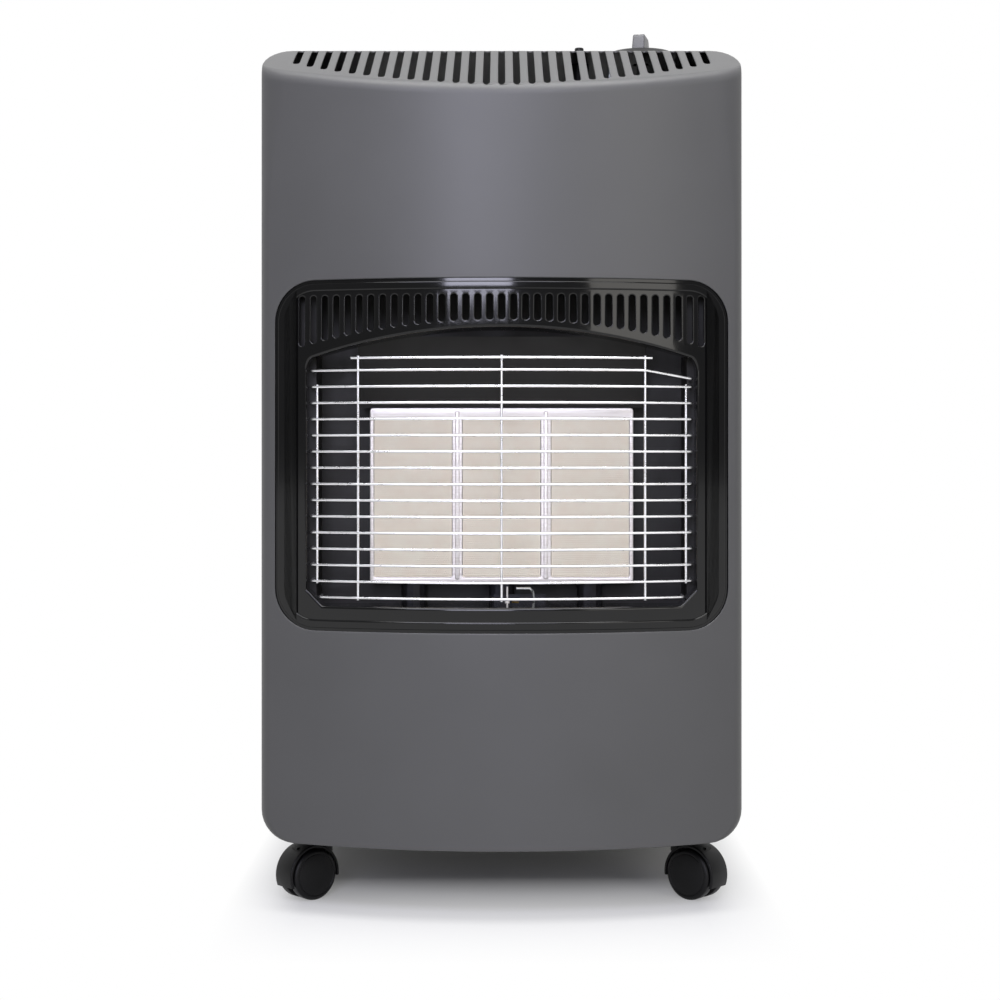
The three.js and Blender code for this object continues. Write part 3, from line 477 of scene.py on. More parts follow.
def moulded_plastic(name, first, second, rough, texture, index):
    """Injection-moulded plastic with the fine spark-eroded texture of its mould."""
    material, tree, surface, place = shader(name, Roughness=rough, IOR=index)
    cloud = grain(tree, place, 15 * MM)
    colour_over(tree, surface, cloud, first, second)
    roughness_over(tree, surface, cloud, rough * 0.9, rough * 1.12)
    relief(tree, surface, grain(tree, place, texture), 0.02 * MM)
    return material


def glazed_alumina():
    """Glazed alumina: dense white ceramic with a soft shine."""
    material, tree, surface, place = shader("glazed_alumina", Roughness=0.3, IOR=1.6)
    colour_over(tree, surface, grain(tree, place, 10 * MM), "#ece8e0", "#f6f3ee")
    return material


coat = powder_coat()
enamel = gloss_enamel()
black_heat = heat_paint()
nickel = plated_wire()
strip_steel = burner_steel()
cordierite = plaque_ceramic()
zinc = zinc_coat()
stained = stained_steel()
brass = turned_metal("turned_brass", "#a88544", "#c9a65c", 0.32)
aluminium = turned_metal("drawn_aluminium", "#a3a6a8", "#bcbfc1", 0.38)
chrome = turned_metal("chromed_steel", "#c8cbce", "#dfe2e4", 0.14)
nylon = moulded_plastic("moulded_black_nylon", "#0a0a0b", "#101011", 0.46, 0.7 * MM, 1.33)
grey_abs = moulded_plastic("moulded_grey_abs", "#4c4c4e", "#565658", 0.4, 0.6 * MM, 1.49)
alumina = glazed_alumina()

slot_materials = {
    "cabinet_paint": coat,
    "black_enamel": enamel,
    "firebox_black": black_heat,
    "bright_wire": nickel,
    "burner_steel": strip_steel,
    "ceramic": cordierite,
    "galvanised": zinc,
    "brass": brass,
    "aluminium": aluminium,
    "white_ceramic": alumina,
    "black_plastic": nylon,
    "grey_plastic": grey_abs,
    "chrome": chrome,
}
# The flame dulls these pieces, and the igniter's black body shows round its button
special_materials = {f"burner_body_{index}": stained for index in (1, 2, 3)}
special_materials |= {"pilot_bracket": stained, "piezo_igniter": nylon}
for subpart in frame["record"]["subparts"]:
    mesh = frame["nodes"][subpart["node"]].data
    mesh.materials.clear()
    material = slot_materials[subpart["material_slot"]]
    mesh.materials.append(special_materials.get(subpart["node"], material))

# ---- The cabinet's form ----

panel_low, panel_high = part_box("front_panel")
half_width = panel_high.x
apex = panel_low.y
panel_bottom = panel_low.z
top_height = panel_high.z
slope_rear = panel_high.y
top_seam = top_height - 30 * MM
side_front = -138 * MM
body_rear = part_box("top_panel")[1].y
bow_radius = 466 * MM
slope_angle = math.radians(24)
slope_start = 711 * MM
brow_radius = 14 * MM
crest_radius = 60 * MM
edge_radius = 8 * MM
shoulder_radius = 21 * MM
foot_corner = 26 * MM
slot_count = 29
slot_pitch = 12.95 * MM
slot_width = 6 * MM
slot_arc = 290 * MM
slot_setback = 4 * MM
slot_lip = 1.0 * MM
clear = 20 * MM  # how far a cutting tool reaches past the front


def bow_y(x, inset=0.0):
    """The y of the bowed front at x, for a surface that lies inset behind it."""
    radius = bow_radius - inset
    return apex + bow_radius - math.sqrt(radius**2 - x**2)


def ease(t):
    t = min(max(t, 0.0), 1.0)
    return t * t * (3 - 2 * t)


def nose(x, inset, part, t, drop=0.0):
    """The (y, z) of a point on the front, brow, slope, crest or top at x, with the top dropped."""
    front = bow_y(x, inset)
    if part == "front":
        return front, t
    top = top_height - drop
    tighter_at_side = 0.6
    crest = crest_radius * (1 - tighter_at_side * drop / shoulder_radius)
    corner = slope_start + (front - apex) * math.tan(slope_angle)
    turn = math.pi / 2 - slope_angle
    foot = corner - brow_radius * math.tan(turn / 2)
    crest_end = apex + (top - slope_start) / math.tan(slope_angle)
    crest_end += crest * math.tan(slope_angle / 2)
    if part == "brow":
        y = front + brow_radius * (1 - math.cos(turn * t))
        return y, foot + brow_radius * math.sin(turn * t)
    if part == "slope":
        start = front + brow_radius * (1 - math.sin(slope_angle))
        end = crest_end - crest * math.sin(slope_angle)
        y = start + (end - start) * t
        return y, slope_start + (y - apex) * math.tan(slope_angle)
    if part == "crest":
        angle = slope_angle * (1 - t)
        return crest_end - crest * math.sin(angle), top - crest * (1 - math.cos(angle))
    past_rear = slope_rear + 12 * MM
    return crest_end + (past_rear - crest_end) * t, top


def shell_columns(steps=6):
    """Columns across the cabinet from its left wall to its right: (side, turn) or (0, x)."""
    rounding = [math.pi / 2 * step / steps for step in range(steps, -1, -1)]
    left = [(-1, "wall")] + [(-1, turn) for turn in rounding]
    lines = [(index - slot_count / 2) * slot_pitch for index in range(slot_count + 1)]
    right = [(1, turn) for turn in reversed(rounding)] + [(1, "wall")]
    return left + [(0, x) for x in lines] + right


def make_shell(rows):
    """The outer skin of the front panel, from its lower flange up and over to its rear edge."""
    columns = shell_columns()
    flange, wall_reach = 12 * MM, 40 * MM
    straight_top, shoulder_rise = 600 * MM, 125 * MM
    upper_wall_foot, upper_wall_rise = 690 * MM, 25 * MM
    lower = ("flange", "foot", "front")
    upper = [index for index, (part, t) in enumerate(rows) if part not in lower]

    def place(i, j):
        part, t = rows[j]
        side, turn = columns[i]
        half = half_width
        if part in ("flange", "foot"):
            angle = t if part == "foot" else 0.0
            half += foot_corner * (math.sin(angle) - 1)
            z = panel_bottom + foot_corner * (1 - math.cos(angle))
            part_here, t_here = "front", z
        else:
            part_here, t_here = part, t
        height = nose(0, 0, part_here, t_here)[1]
        growth = ease((height - straight_top) / shoulder_rise)
        radius = edge_radius + (shoulder_radius - edge_radius) * growth
        if side == 0:
            x, inset, drop = turn * half / half_width, 0.0, 0.0
        else:
            around = math.pi / 2 if turn == "wall" else turn
            x = side * (half - radius + radius * math.sin(around))
            inset = edge_radius * (1 - math.cos(around))
            drop = shoulder_radius * (1 - math.cos(around))
        if part == "flange":
            x = max(min(x, half - flange), flange - half)
            inset = max(inset, flange)
        y, z = nose(x, inset, part_here, t_here, drop)
        if turn == "wall" and j < upper[0]:
            y += wall_reach
        elif turn == "wall":
            share = (j - upper[0]) / (len(upper) - 1)
            first = nose(x, inset, "front", z)[0] + wall_reach
            last = nose(x, inset, "top", 1.0, drop)[0]
            y, z = first + (last - first) * share, upper_wall_foot + upper_wall_rise * share
        return x, y, z

    skin = sheet("front_panel_shell", len(columns), len(rows), place)
    return merge(skin)


def at_foot_fold(edge):
    """Whether the edge is where the front turns into its lower flange."""
    if len(edge.link_faces) != 2 or any(v.co.z > panel_bottom + 0.01 * MM for v in edge.verts):
        return False
    first, second = sorted(face.normal.z for face in edge.link_faces)
    return first < -0.9 and abs(second) < 0.3 and min(v.co.y for v in edge.verts) < -0.17


def make_front_panel():
    """Pressed front sheet: bowed, folded over the brow, with rolled slots and a window."""
    rows = [("flange", 0.0)]
    rows += [("foot", math.pi / 2 * step / 8) for step in range(9)]
    rows += [("front", z * MM) for z in (600, 630, 655, 680)]
    rows += [("brow", step / 6) for step in range(7)]
    rows += [("slope", 0.25), ("slope", 0.5), ("slope", 0.75)]
    rows += [("crest", step / 5) for step in range(6)] + [("top", 1.0)]
    panel = make_shell(rows)
    modify(panel, "SOLIDIFY", thickness=SHEET, offset=-1)
    wide, above = 250 * MM, top_height + clear
    low = (-wide, apex - clear, panel_bottom - 10 * MM)
    region = block("region", low, (wide, side_front, above))
    low = (-wide, side_front - 10 * MM, top_seam)
    upper = block("upper", low, (wide, slope_rear, above))
    combine(region, upper, "UNION")
    combine(panel, region, "INTERSECT")
    combine(panel, window_plug(windows["panel_gap"], apex - clear, side_front - 5 * MM))
    combine(panel, slot_tools())
    bevel(panel, on_slot_rim, slot_lip)
    roll_rims(panel, 1, window_rim, 1.0 * MM)
    bevel(panel, at_foot_fold, 0.8 * MM)
    finish(panel, coat, replaces=["front_panel"], weighted=True)


# The window in the front and the burner surround that stands in it
surround_centre = 397 * MM
windows = {
    "panel_gap": (393 * MM, 301 * MM, 35.5 * MM),
    "surround": (388 * MM, 296 * MM, 33 * MM),
}


def rounded_block(name, low, high, axis, radius, steps=10):
    """A block whose four edges along one axis are rounded."""
    piece = block(name, low, high)
    return bevel(piece, lambda e: along(e, axis), radius, steps)


def window_plug(size, front, back, inset=0.0):
    width, height, radius = size
    half, tall = width / 2 - inset, height / 2 - inset
    low = (-half, front, surround_centre - tall)
    high = (half, back, surround_centre + tall)
    return rounded_block("window_plug", low, high, 1, radius - inset, 12)


def slot_tools():
    """The punch for the top slots: feet round seen from the front, rear ends from above."""
    tools = []
    radius = slot_width / 2
    punch_top, limit_foot, limit_top, limit_reach = 790 * MM, 680 * MM, 800 * MM, 160 * MM
    for index in range(slot_count):
        x = (index - (slot_count - 1) / 2) * slot_pitch
        foot = slot_foot(x) + radius
        tool = rod("slot", radius, (x, apex - clear, foot), (x, -80 * MM, foot), sides=20)
        pick(tool, "verts", lambda v: v.co.z > foot + 0.001 * MM)
        bpy.ops.transform.translate(value=(0, 0, punch_top - foot))
        done()
        end = slope_rear - 5 * MM - radius
        ends = (x, end, limit_foot), (x, end, limit_top)
        limit = rod("slot_end", radius + 0.02 * MM, *ends, sides=20)
        pick(limit, "verts", lambda v: v.co.y < end - 0.001 * MM)
        bpy.ops.transform.translate(value=(0, -limit_reach, 0))
        done()
        tools.append(combine(tool, limit, "INTERSECT"))
    return weld("slot_tools", tools)


def slot_foot(x):
    """The height at which a slot starts on the brow or the slope."""
    y, front = slot_start(x), bow_y(x)
    turn = math.pi / 2 - slope_angle
    if y - front > brow_radius * (1 - math.sin(slope_angle)):
        return slope_start + (y - apex) * math.tan(slope_angle)
    corner = slope_start + (front - apex) * math.tan(slope_angle)
    foot = corner - brow_radius * math.tan(turn / 2)
    return foot + brow_radius * math.sin(math.acos(1 - (y - front) / brow_radius))


def slot_start(x):
    return apex + slot_setback + slot_arc - math.sqrt(slot_arc**2 - x**2)


def on_slot_rim(edge):
    """Whether the edge lies where a slot's wall meets the outer face."""
    if len(edge.link_faces) != 2 or edge.calc_face_angle() < math.radians(35):
        return False
    if any(abs(v.co.x) > 188 * MM or v.co.z < 695 * MM for v in edge.verts):
        return False

    def is_wall(face):
        across = abs(face.normal.x) > 0.15 or face.calc_center_median().y < -140 * MM
        return abs(face.normal.y) < 0.03 and across

    def is_outside(face):
        return not is_wall(face) and (face.normal.z > 0.2 or face.normal.y < -0.2)

    first, second = edge.link_faces
    return (is_wall(first) and is_outside(second)) or (is_wall(second) and is_outside(first))


def window_rim(point):
    return abs(point.x) < 200 * MM and 230 * MM < point.z < 560 * MM


def roll_rims(piece, axis, near, width, steps=3, outward=None):
    """Rounds the outer rim of holes that were cut along one axis."""
    outward = outward or (1 if axis == 2 else -1)

    def on_rim(edge):
        if len(edge.link_faces) != 2 or not all(near(v.co) for v in edge.verts):
            return False
        first, second = (face.normal[axis] * outward for face in edge.link_faces)
        return min(abs(first), abs(second)) < 0.08 and max(first, second) > 0.25

    return bevel(piece, on_rim, width, steps)


make_front_panel()

# ---- Burner surround ----

plate_inset = 1.6 * MM
plate_sheet = 1.4 * MM
firebox_front = -163.3 * MM
opening_half = 168 * MM
opening_foot = 268 * MM
arch_radius = 540 * MM
arch_centre = -34 * MM
sill_chamfer = 14 * MM
vent_count = 35
vent_pitch = 10.12 * MM
vent_radius = 2.5 * MM
vent_top = 534 * MM
vent_foot = 512.5 * MM
vent_arc = 700 * MM


def bowed_sheet(name, xs, low, high, inset, thickness):
    """An upright sheet bent to the bow, with its front face inset behind the panel's."""
    piece = sheet(name, len(xs), 2, lambda i, j: (xs[i], bow_y(xs[i], inset), (low, high)[j]))
    return modify(piece, "SOLIDIFY", thickness=thickness, offset=-1, use_even_offset=True)


def opening_plug(name, grow, front, back):
    """The firebox opening as a block: an arched top and chamfered lower corners."""
    half, foot = opening_half + grow, opening_foot - grow
    plug = block(name, (-half, front, foot), (half, back, 520 * MM))
    bevel(plug, lambda e: along(e, 1) and e.verts[0].co.z < foot + MM, sill_chamfer, steps=1)
    start, end = (0, front - 5 * MM, arch_centre), (0, back + 5 * MM, arch_centre)
    combine(plug, rod("arch", arch_radius + grow, start, end, sides=512), "INTERSECT")

    def under_arch(edge):
        """Whether the edge is an upper corner, where the arch meets a side."""
        spot = edge.verts[0].co
        return along(edge, 1) and abs(spot.x) > half - 0.1 * MM and spot.z > 450 * MM

    return bevel(plug, under_arch, 9 * MM, steps=6)


def vent_tools():
    """The punch for the upright vents: round-ended prisms whose feet stand on an arc."""
    tools = []
    for index in range(vent_count):
        x = (index - (vent_count - 1) / 2) * vent_pitch
        foot = vent_foot - vent_arc + math.sqrt(vent_arc**2 - x**2) + vent_radius
        tool = rod("vent", vent_radius, (x, apex - clear, foot), (x, -165 * MM, foot), sides=16)
        pick(tool, "verts", lambda v: v.co.z > foot + 0.001 * MM)
        bpy.ops.transform.translate(value=(0, 0, vent_top - vent_radius - foot))
        done()
        tools.append(tool)
    return weld("vent_tools", tools)


def make_burner_surround():
    """Black enamelled pressing: a bowed plate with an outer bead, vents and a deep arched mouth."""
    xs = [(index - vent_count / 2) * vent_pitch for index in range(vent_count + 1)]
    xs = [-206 * MM, -194 * MM] + xs + [194 * MM, 206 * MM]
    low, high = 230 * MM, 564 * MM
    flange = 10 * MM
    outline, bead_width, back = windows["surround"], 7 * MM, -140 * MM
    plate = bowed_sheet("burner_surround", xs, low, high, plate_inset, plate_sheet)
    combine(plate, window_plug(outline, apex - clear, back, -flange), "INTERSECT")
    bead = bowed_sheet("bead", xs, low, high, 0.1 * MM, 2.4 * MM)
    combine(bead, window_plug(outline, apex - clear, back), "INTERSECT")
    combine(bead, window_plug(outline, apex - clear, back, bead_width))
    roll_rims(bead, 1, lambda point: True, 1.3 * MM, steps=4)
    combine(plate, bead, "UNION")
    throat = bowed_sheet("throat", xs, low, high, plate_inset + 0.4 * MM, 62 * MM)
    throat_outline = opening_plug("throat_outline", 4 * MM, apex - clear, firebox_front)
    combine(throat, throat_outline, "INTERSECT")
    combine(plate, throat, "UNION")
    combine(plate, opening_plug("mouth", 0, apex - clear, -0.1))
    combine(plate, vent_tools())
    roll_rims(plate, 1, near_mouth, 2.4 * MM, steps=4)
    roll_rims(plate, 1, near_vents, 1.2 * MM, steps=4)
    finish(plate, enamel, replaces=["burner_surround"], weighted=True)


def near_mouth(point):
    """Whether a point lies on the outline of the firebox opening."""
    in_arch = math.hypot(point.x, point.z - arch_centre) < arch_radius + 0.3 * MM
    return abs(point.x) < opening_half + 0.3 * MM and point.z > opening_foot - 0.3 * MM and in_arch


def near_vents(point):
    return abs(point.x) < 176 * MM and 488 * MM < point.z < vent_top + MM and not near_mouth(point)


make_burner_surround()

# ---- Wire guard ----

wire_radius = 1.1 * MM
wire_pitch = 13.93 * MM
wire_count = 15
lowest_wire = 275 * MM
guard_inset = 5 * MM
guard_half = 164.5 * MM
lowest_half = 157 * MM
short_half = 129 * MM
short_wire = 480.5 * MM
inner_upright = 123 * MM
outer_upright = 159 * MM


def across_bow(half, z, fall=0.0):
    """Points of a wire across the bow, which may fall from the inner upright to its right end."""
    steps = 16
    points = []
    for step in range(steps + 1):
        x = half * (2 * step / steps - 1)
        down = fall * max(x - inner_upright, 0) / (half - inner_upright)
        points.append((x, bow_y(x, guard_inset), z - down))
    return points


def make_wire_guard():
    """Guard of drawn wire: level wires with their ends turned back, welded to uprights behind."""
    wires = []
    for index in range(wire_count):
        half = lowest_half if index == 0 else guard_half
        fall = 7 * MM if index == wire_count - 1 else 0.0
        z = lowest_wire + index * wire_pitch
        points = across_bow(half, z, fall)
        points = [(-half, firebox_front, z)] + points + [(half, firebox_front, z - fall)]
        wires.append(wire("guard_wire", points, wire_radius, bend=5 * MM))
    wires.append(wire("guard_wire", across_bow(short_half, short_wire), wire_radius))
    top = lowest_wire + (wire_count - 2) * wire_pitch
    for x, low, high in [
        (0, lowest_wire, short_wire),
        (inner_upright, lowest_wire, short_wire),
        (outer_upright, lowest_wire + wire_pitch, top),
    ]:
        for side in (1, -1) if x else (1,):
            y = bow_y(x, guard_inset) + wire_radius * 1.6
            ends = [(side * x, y, low - 2 * MM), (side * x, y, high + 2 * MM)]
            wires.append(wire("guard_upright", ends, wire_radius))
    guard = weld("wire_guard_wires", wires)
    finish(guard, nickel, replaces=["wire_guard"], degrees=60)


make_wire_guard()

# ---- Burner ----

plaque_pitch = 78.4 * MM
plaque_width = 69 * MM
plaque_low = 289 * MM
plaque_high = 429.4 * MM
burner_front = -142 * MM
pinhole_rows = 150
pinhole_columns = 69


def make_plaques():
    """Ceramic plaques with pinholes 2 mm apart, in staggered rows."""
    margin, face, depth = 0.3 * MM, -141.5 * MM, 13 * MM
    hole_depth = 4 * MM
    tall = (plaque_high - plaque_low - 2 * margin) / pinhole_rows
    wide = (plaque_width - 2 * margin) / pinhole_columns
    left, foot = margin - plaque_width / 2, plaque_low + margin

    def place(i, j):
        return left + i * wide, face, foot + j * tall

    plaque = sheet("plaque", pinhole_columns + 1, pinhole_rows + 1, place)

    def is_hole(polygon):
        centre = polygon.calc_center_median()
        column, row = int((centre.x - left) / wide), int((centre.z - foot) / tall)
        staggered = row % 2 == 1 and column % 2 == 1 - (row // 2) % 2
        return staggered and 0 < column < pinhole_columns - 1

    pick(plaque, "faces", is_hole)
    bpy.ops.mesh.inset(thickness=0.1 * MM, use_individual=True)
    bpy.ops.mesh.extrude_region_move(TRANSFORM_OT_translate={"value": (0, hole_depth, 0)})
    done()
    pick(plaque, "edges", lambda e: e.is_boundary)
    bpy.ops.mesh.extrude_region_move(TRANSFORM_OT_translate={"value": (0, depth, 0)})
    bpy.ops.mesh.edge_face_add()
    done()
    for index in range(3):
        twin = copy_of(plaque, f"plaque_{index + 1}", ((index - 1) * plaque_pitch, 0, 0))
        replaced = [f"ceramic_plaque_{index + 1}"]
        finish(twin, cordierite, replaces=replaced, degrees=20)
    bpy.data.objects.remove(plaque, do_unlink=True)


def make_burner_frame():
    """Pressed strip-steel frame round the plaques, with a raised rib down each divider."""
    low = (-116.6 * MM, burner_front, 284.5 * MM)
    high = (116.6 * MM, -138 * MM, 438.8 * MM)
    plate = rounded_block("burner_frame_pressing", low, high, 1, 3 * MM, steps=5)
    for index in (-1, 0, 1):
        x = index * plaque_pitch
        half = plaque_width / 2
        low = (x - half, burner_front - 10 * MM, plaque_low)
        high = (x + half, burner_front + 12 * MM, plaque_high)
        combine(plate, rounded_block("frame_window", low, high, 1, 2 * MM, steps=4))
    roll_rims(plate, 1, lambda point: True, 0.9 * MM)
    for x in (-plaque_pitch / 2, plaque_pitch / 2):
        low = (x - 2 * MM, burner_front - 1.2 * MM, 287 * MM)
        high = (x + 2 * MM, burner_front + 1 * MM, 436 * MM)
        rib = rounded_block("divider_rib", low, high, 1, 1.9 * MM, steps=5)
        roll_rims(rib, 1, lambda point: True, 0.9 * MM)
        combine(plate, rib, "UNION")
    finish(plate, strip_steel, replaces=["burner_frame"])


def make_deflector():
    """Folded black plate that leans forward above the burner, with a turned-up front lip."""
    half = 126 * MM
    plate = block("deflector", (-half, -138 * MM, 439.2 * MM), (half, -136.4 * MM, 500.9 * MM))
    pick(plate, "faces", lambda f: f.normal.z > 0.5)
    bpy.ops.transform.translate(value=(0, -22 * MM, -3 * MM))
    bpy.ops.mesh.extrude_region_move(TRANSFORM_OT_translate={"value": (0, -1 * MM, 3 * MM)})
    done()
    bevel(plate, lambda e: not along(e, 0), 0.4 * MM, steps=2)
    finish(plate, black_heat, replaces=["heat_deflector"])


make_plaques()
make_burner_frame()
make_deflector()

# ---- Top, sides and back ----

side_outer = 208.5 * MM
side_inner = 207.3 * MM
side_back = 204.5 * MM
back_half = 203 * MM
grip_centre = 610 * MM
grip_half_length = 56 * MM
grip_half_height = 18 * MM
louvre_pitch = 14 * MM
louvre_height = 5 * MM
knob_place = Vector((131 * MM, -32 * MM, 0))
igniter_place = Vector((73 * MM, -32 * MM, 0))


def make_top_panel():
    """Pressed lid behind the slots: round shoulders on both sides and skirts folded down."""
    low = (-half_width, slope_rear + 0.4 * MM, top_seam)
    lid = block("top_lid", low, (half_width, body_rear, top_height))
    bevel(lid, lambda e: along(e, 1) and e.verts[0].co.z > top_seam + MM, shoulder_radius, steps=8)

    def at_rear(edge):
        """Whether the edge is at the back of the lid, other than its open foot."""
        behind = all(v.co.y > body_rear - 0.1 * MM for v in edge.verts)
        return behind and not any(f.normal.z < -0.9 for f in edge.link_faces)

    bevel(lid, at_rear, 5 * MM, 5)
    pick(lid, "faces", lambda f: f.normal.z < -0.9 or f.normal.y < -0.9)
    bpy.ops.mesh.delete(type="FACE")
    done()
    modify(lid, "SOLIDIFY", thickness=SHEET, offset=-1, use_even_offset=True)
    for place, radius in [(knob_place, 8 * MM), (igniter_place, 9.3 * MM)]:
        below, above = (place.x, place.y, 750 * MM), (place.x, place.y, 780 * MM)
        combine(lid, rod("hole", radius, below, above))
    finish(lid, coat, replaces=["top_panel"], weighted=True)


def louvre_pieces(side, y, foot):
    """The slots of one group of louvres, and the eyebrow pressed out above each of them."""
    slots, brows = [], []
    half, brow_half = 35 * MM, 35.5 * MM
    brow_foot, brow_height, brow_root = 3.2 * MM, 5 * MM, 207.6 * MM
    inner, outer = sorted((side * 200 * MM, side * 215 * MM))
    brow_inner, brow_outer = sorted((side * brow_root, side * half_width))
    for index in range(6):
        z = foot + index * louvre_pitch
        low, high = (inner, y - half, z), (outer, y + half, z + louvre_height)
        slots.append(rounded_block("louvre_slot", low, high, 0, 2.4 * MM, 4))
        z += brow_foot
        low, high = (brow_inner, y - brow_half, z), (brow_outer, y + brow_half, z + brow_height)
        brow = block("louvre_brow", low, high)
        pick(brow, "faces", lambda f: f.normal.x * side > 0.9)
        bpy.ops.transform.resize(value=(1, 0.93, 0.5), center_override=(0, y, z))
        done()
        bevel(brow, lambda e: all(abs(v.co.x) > brow_root + 0.2 * MM for v in e.verts), 0.5 * MM, 3)
        brows.append(brow)
    return weld("louvre_slots", slots), weld("louvre_brows", brows)


def make_side_panels():
    """Side sheets with pressed louvres, a folded rear flange and a hole for the grip."""
    front, foot, top, fold = side_front - 12 * MM, 90 * MM, 739 * MM, 14 * MM

    def at_rear_corner(edge):
        behind = min(v.co.y for v in edge.verts) > side_back - 0.1 * MM
        return along(edge, 2) and behind and abs(edge.verts[0].co.x) > side_outer - 0.1 * MM

    for name, side in [("left", -1), ("right", 1)]:
        low, high = sorted((side * side_inner, side * side_outer))
        wall = block("side_wall", (low, front, foot), (high, side_back, top))
        low, high = sorted((side * (side_outer - fold), side * side_outer))
        flange = block("rear_fold", (low, side_back - SHEET, foot), (high, side_back, top))
        combine(wall, flange, "UNION")
        combine(wall, grip_block(side, 190 * MM, 220 * MM, 0.5 * MM, 8 * MM))
        for y, louvre_foot in [(60 * MM, 150 * MM), (-70 * MM, 430 * MM)]:
            slots, brows = louvre_pieces(side, y, louvre_foot)
            combine(wall, brows, "UNION")
            combine(wall, slots)
        bevel(wall, at_rear_corner, 1 * MM)
        finish(wall, coat, replaces=[f"side_panel_{name}"])
        make_grip(name, side)


def grip_block(side, inner, outer, grow, radius):
    """A rounded block on the grip's outline, grown all round, between two distances out."""
    low, high = sorted((side * inner, side * outer))
    return rounded_block(
        "grip_part",
        (low, -grip_half_length - grow, grip_centre - grip_half_height - grow),
        (high, grip_half_length + grow, grip_centre + grip_half_height + grow),
        0,
        radius,
        6,
    )


def make_grip(name, side):
    """Moulded grip: a soft-edged rim round a deep cup for the fingers."""
    cup_depth, cup_wall = 24 * MM, 2 * MM
    rim = grip_block(side, side_outer + 0.3 * MM, half_width, 6 * MM, 12 * MM)
    bevel(rim, lambda e: all(abs(v.co.x) > half_width - 0.1 * MM for v in e.verts), 0.9 * MM)
    cup = grip_block(side, side_outer - cup_depth, half_width - 0.3 * MM, 0, 7 * MM)
    combine(rim, cup, "UNION")
    floor = side_outer - cup_depth + cup_wall
    hollow = grip_block(side, floor, half_width + 10 * MM, -cup_wall, 5 * MM)
    bevel(hollow, lambda e: all(abs(v.co.x) < floor + 0.1 * MM for v in e.verts), 2 * MM)
    combine(rim, hollow)
    rim.name = f"grip_{name}"
    roll_rims(rim, 0, lambda v: abs(v.x) > half_width - 0.1 * MM, 1.5 * MM, outward=side)
    finish(rim, nylon, replaces=[f"handle_cup_{name}"])


def make_back_panel():
    """Upper back sheet with a row of upright slots."""
    low = (-back_half, side_back + 0.3 * MM, 642 * MM)
    plate = rounded_block("upper_back", low, (back_half, body_rear, 734.6 * MM), 1, 2 * MM, 4)
    tools = []
    slots, pitch, half = 15, 20 * MM, 4 * MM
    for index in range(slots):
        x = (index - (slots - 1) / 2) * pitch
        low, high = (x - half, 190 * MM, 662 * MM), (x + half, 220 * MM, 712 * MM)
        tools.append(rounded_block("back_slot", low, high, 1, half - 0.05 * MM, 6))
    combine(plate, weld("back_slots", tools))
    roll_rims(plate, 1, lambda v: True, 0.5 * MM, outward=1)
    finish(plate, coat, replaces=["back_panel"])


def make_rear_cover():
    """Rear cover over the cylinder: a sheet drawn out to a shallow pan, with two slot groups."""
    front = body_rear - SHEET + 0.3 * MM
    rear = cad_box[1].y
    gauge = 1.5 * MM
    low, high = (-back_half, front, 70 * MM), (back_half, front + gauge, 640 * MM)
    plate = rounded_block("rear_cover_sheet", low, high, 1, 3 * MM, 5)

    def pan(inset, back, grow):
        low = (-152 * MM + inset, front - grow, 112 * MM + inset)
        high = (152 * MM - inset, back, 598 * MM - inset)
        return rounded_block("pan", low, high, 1, 20 * MM - inset, 10)

    outside = pan(0, rear, 0)
    bevel(outside, lambda e: all(v.co.y > rear - 0.1 * MM for v in e.verts), 6 * MM, 6)
    combine(plate, outside, "UNION")
    inside = pan(gauge, rear - gauge, 5 * MM)
    bevel(inside, lambda e: all(v.co.y > rear - 1.6 * MM for v in e.verts), 4.5 * MM, 6)
    combine(plate, inside)
    tools = []
    for foot in (142 * MM, 508 * MM):
        for index in range(5):
            z = foot + index * louvre_pitch
            low = (-90 * MM, rear - 8 * MM, z)
            high = (90 * MM, rear + 10 * MM, z + louvre_height)
            tools.append(rounded_block("cover_slot", low, high, 1, 2.4 * MM, 5))
    combine(plate, weld("cover_slots", tools))

    def near_slots(point):
        return abs(point.x) < 100 * MM and point.y > rear - 0.1 * MM

    roll_rims(plate, 1, near_slots, 0.7 * MM, outward=1)
    finish(plate, coat, "rear_door", ["rear_cover"], weighted=True)


def make_screws():
    """Pan-head screws with a cross recess, along the sides and the upper back."""
    profile = [(0, 0), (3.4, 0), (3.3, 0.7), (2.6, 1.2), (1.2, 1.5), (0, 1.6)]
    head = moved(lathe("screw", profile, sides=20), Matrix.Scale(MM, 4))
    for turn in (0, math.pi / 2):
        arm = block("cross", (-1.9 * MM, -0.35 * MM, 0.8 * MM), (1.9 * MM, 0.35 * MM, 3 * MM))
        combine(head, moved(arm, Matrix.Rotation(turn, 4, "Z")))
    spots = []
    for side in (-1, 1):
        facing = Matrix.Rotation(side * math.pi / 2, 4, "Y")
        flat = Matrix.Scale(0.9, 4, (1, 0, 0))
        for y in (-130 * MM, 190 * MM):
            for z in (110 * MM, 360 * MM, 715 * MM):
                spot = (side * (side_outer + 0.02 * MM), y, z)
                spots.append(Matrix.Translation(spot) @ flat @ facing)
    facing = Matrix.Rotation(-math.pi / 2, 4, "X")
    for x in (-190 * MM, 190 * MM):
        for z in (655 * MM, 722 * MM):
            spots.append(Matrix.Translation((x, body_rear + 0.02 * MM, z)) @ facing)
    for index, spot in enumerate(spots):
        screw = copy_of(head, f"screw_{index + 1}", turn=spot)
        finish(screw, zinc)
    bpy.data.objects.remove(head, do_unlink=True)


make_top_panel()
make_side_panels()
make_back_panel()
make_rear_cover()
make_screws()

# ---- Knob, bezel and igniter ----

bezel_seat = 765.3 * MM


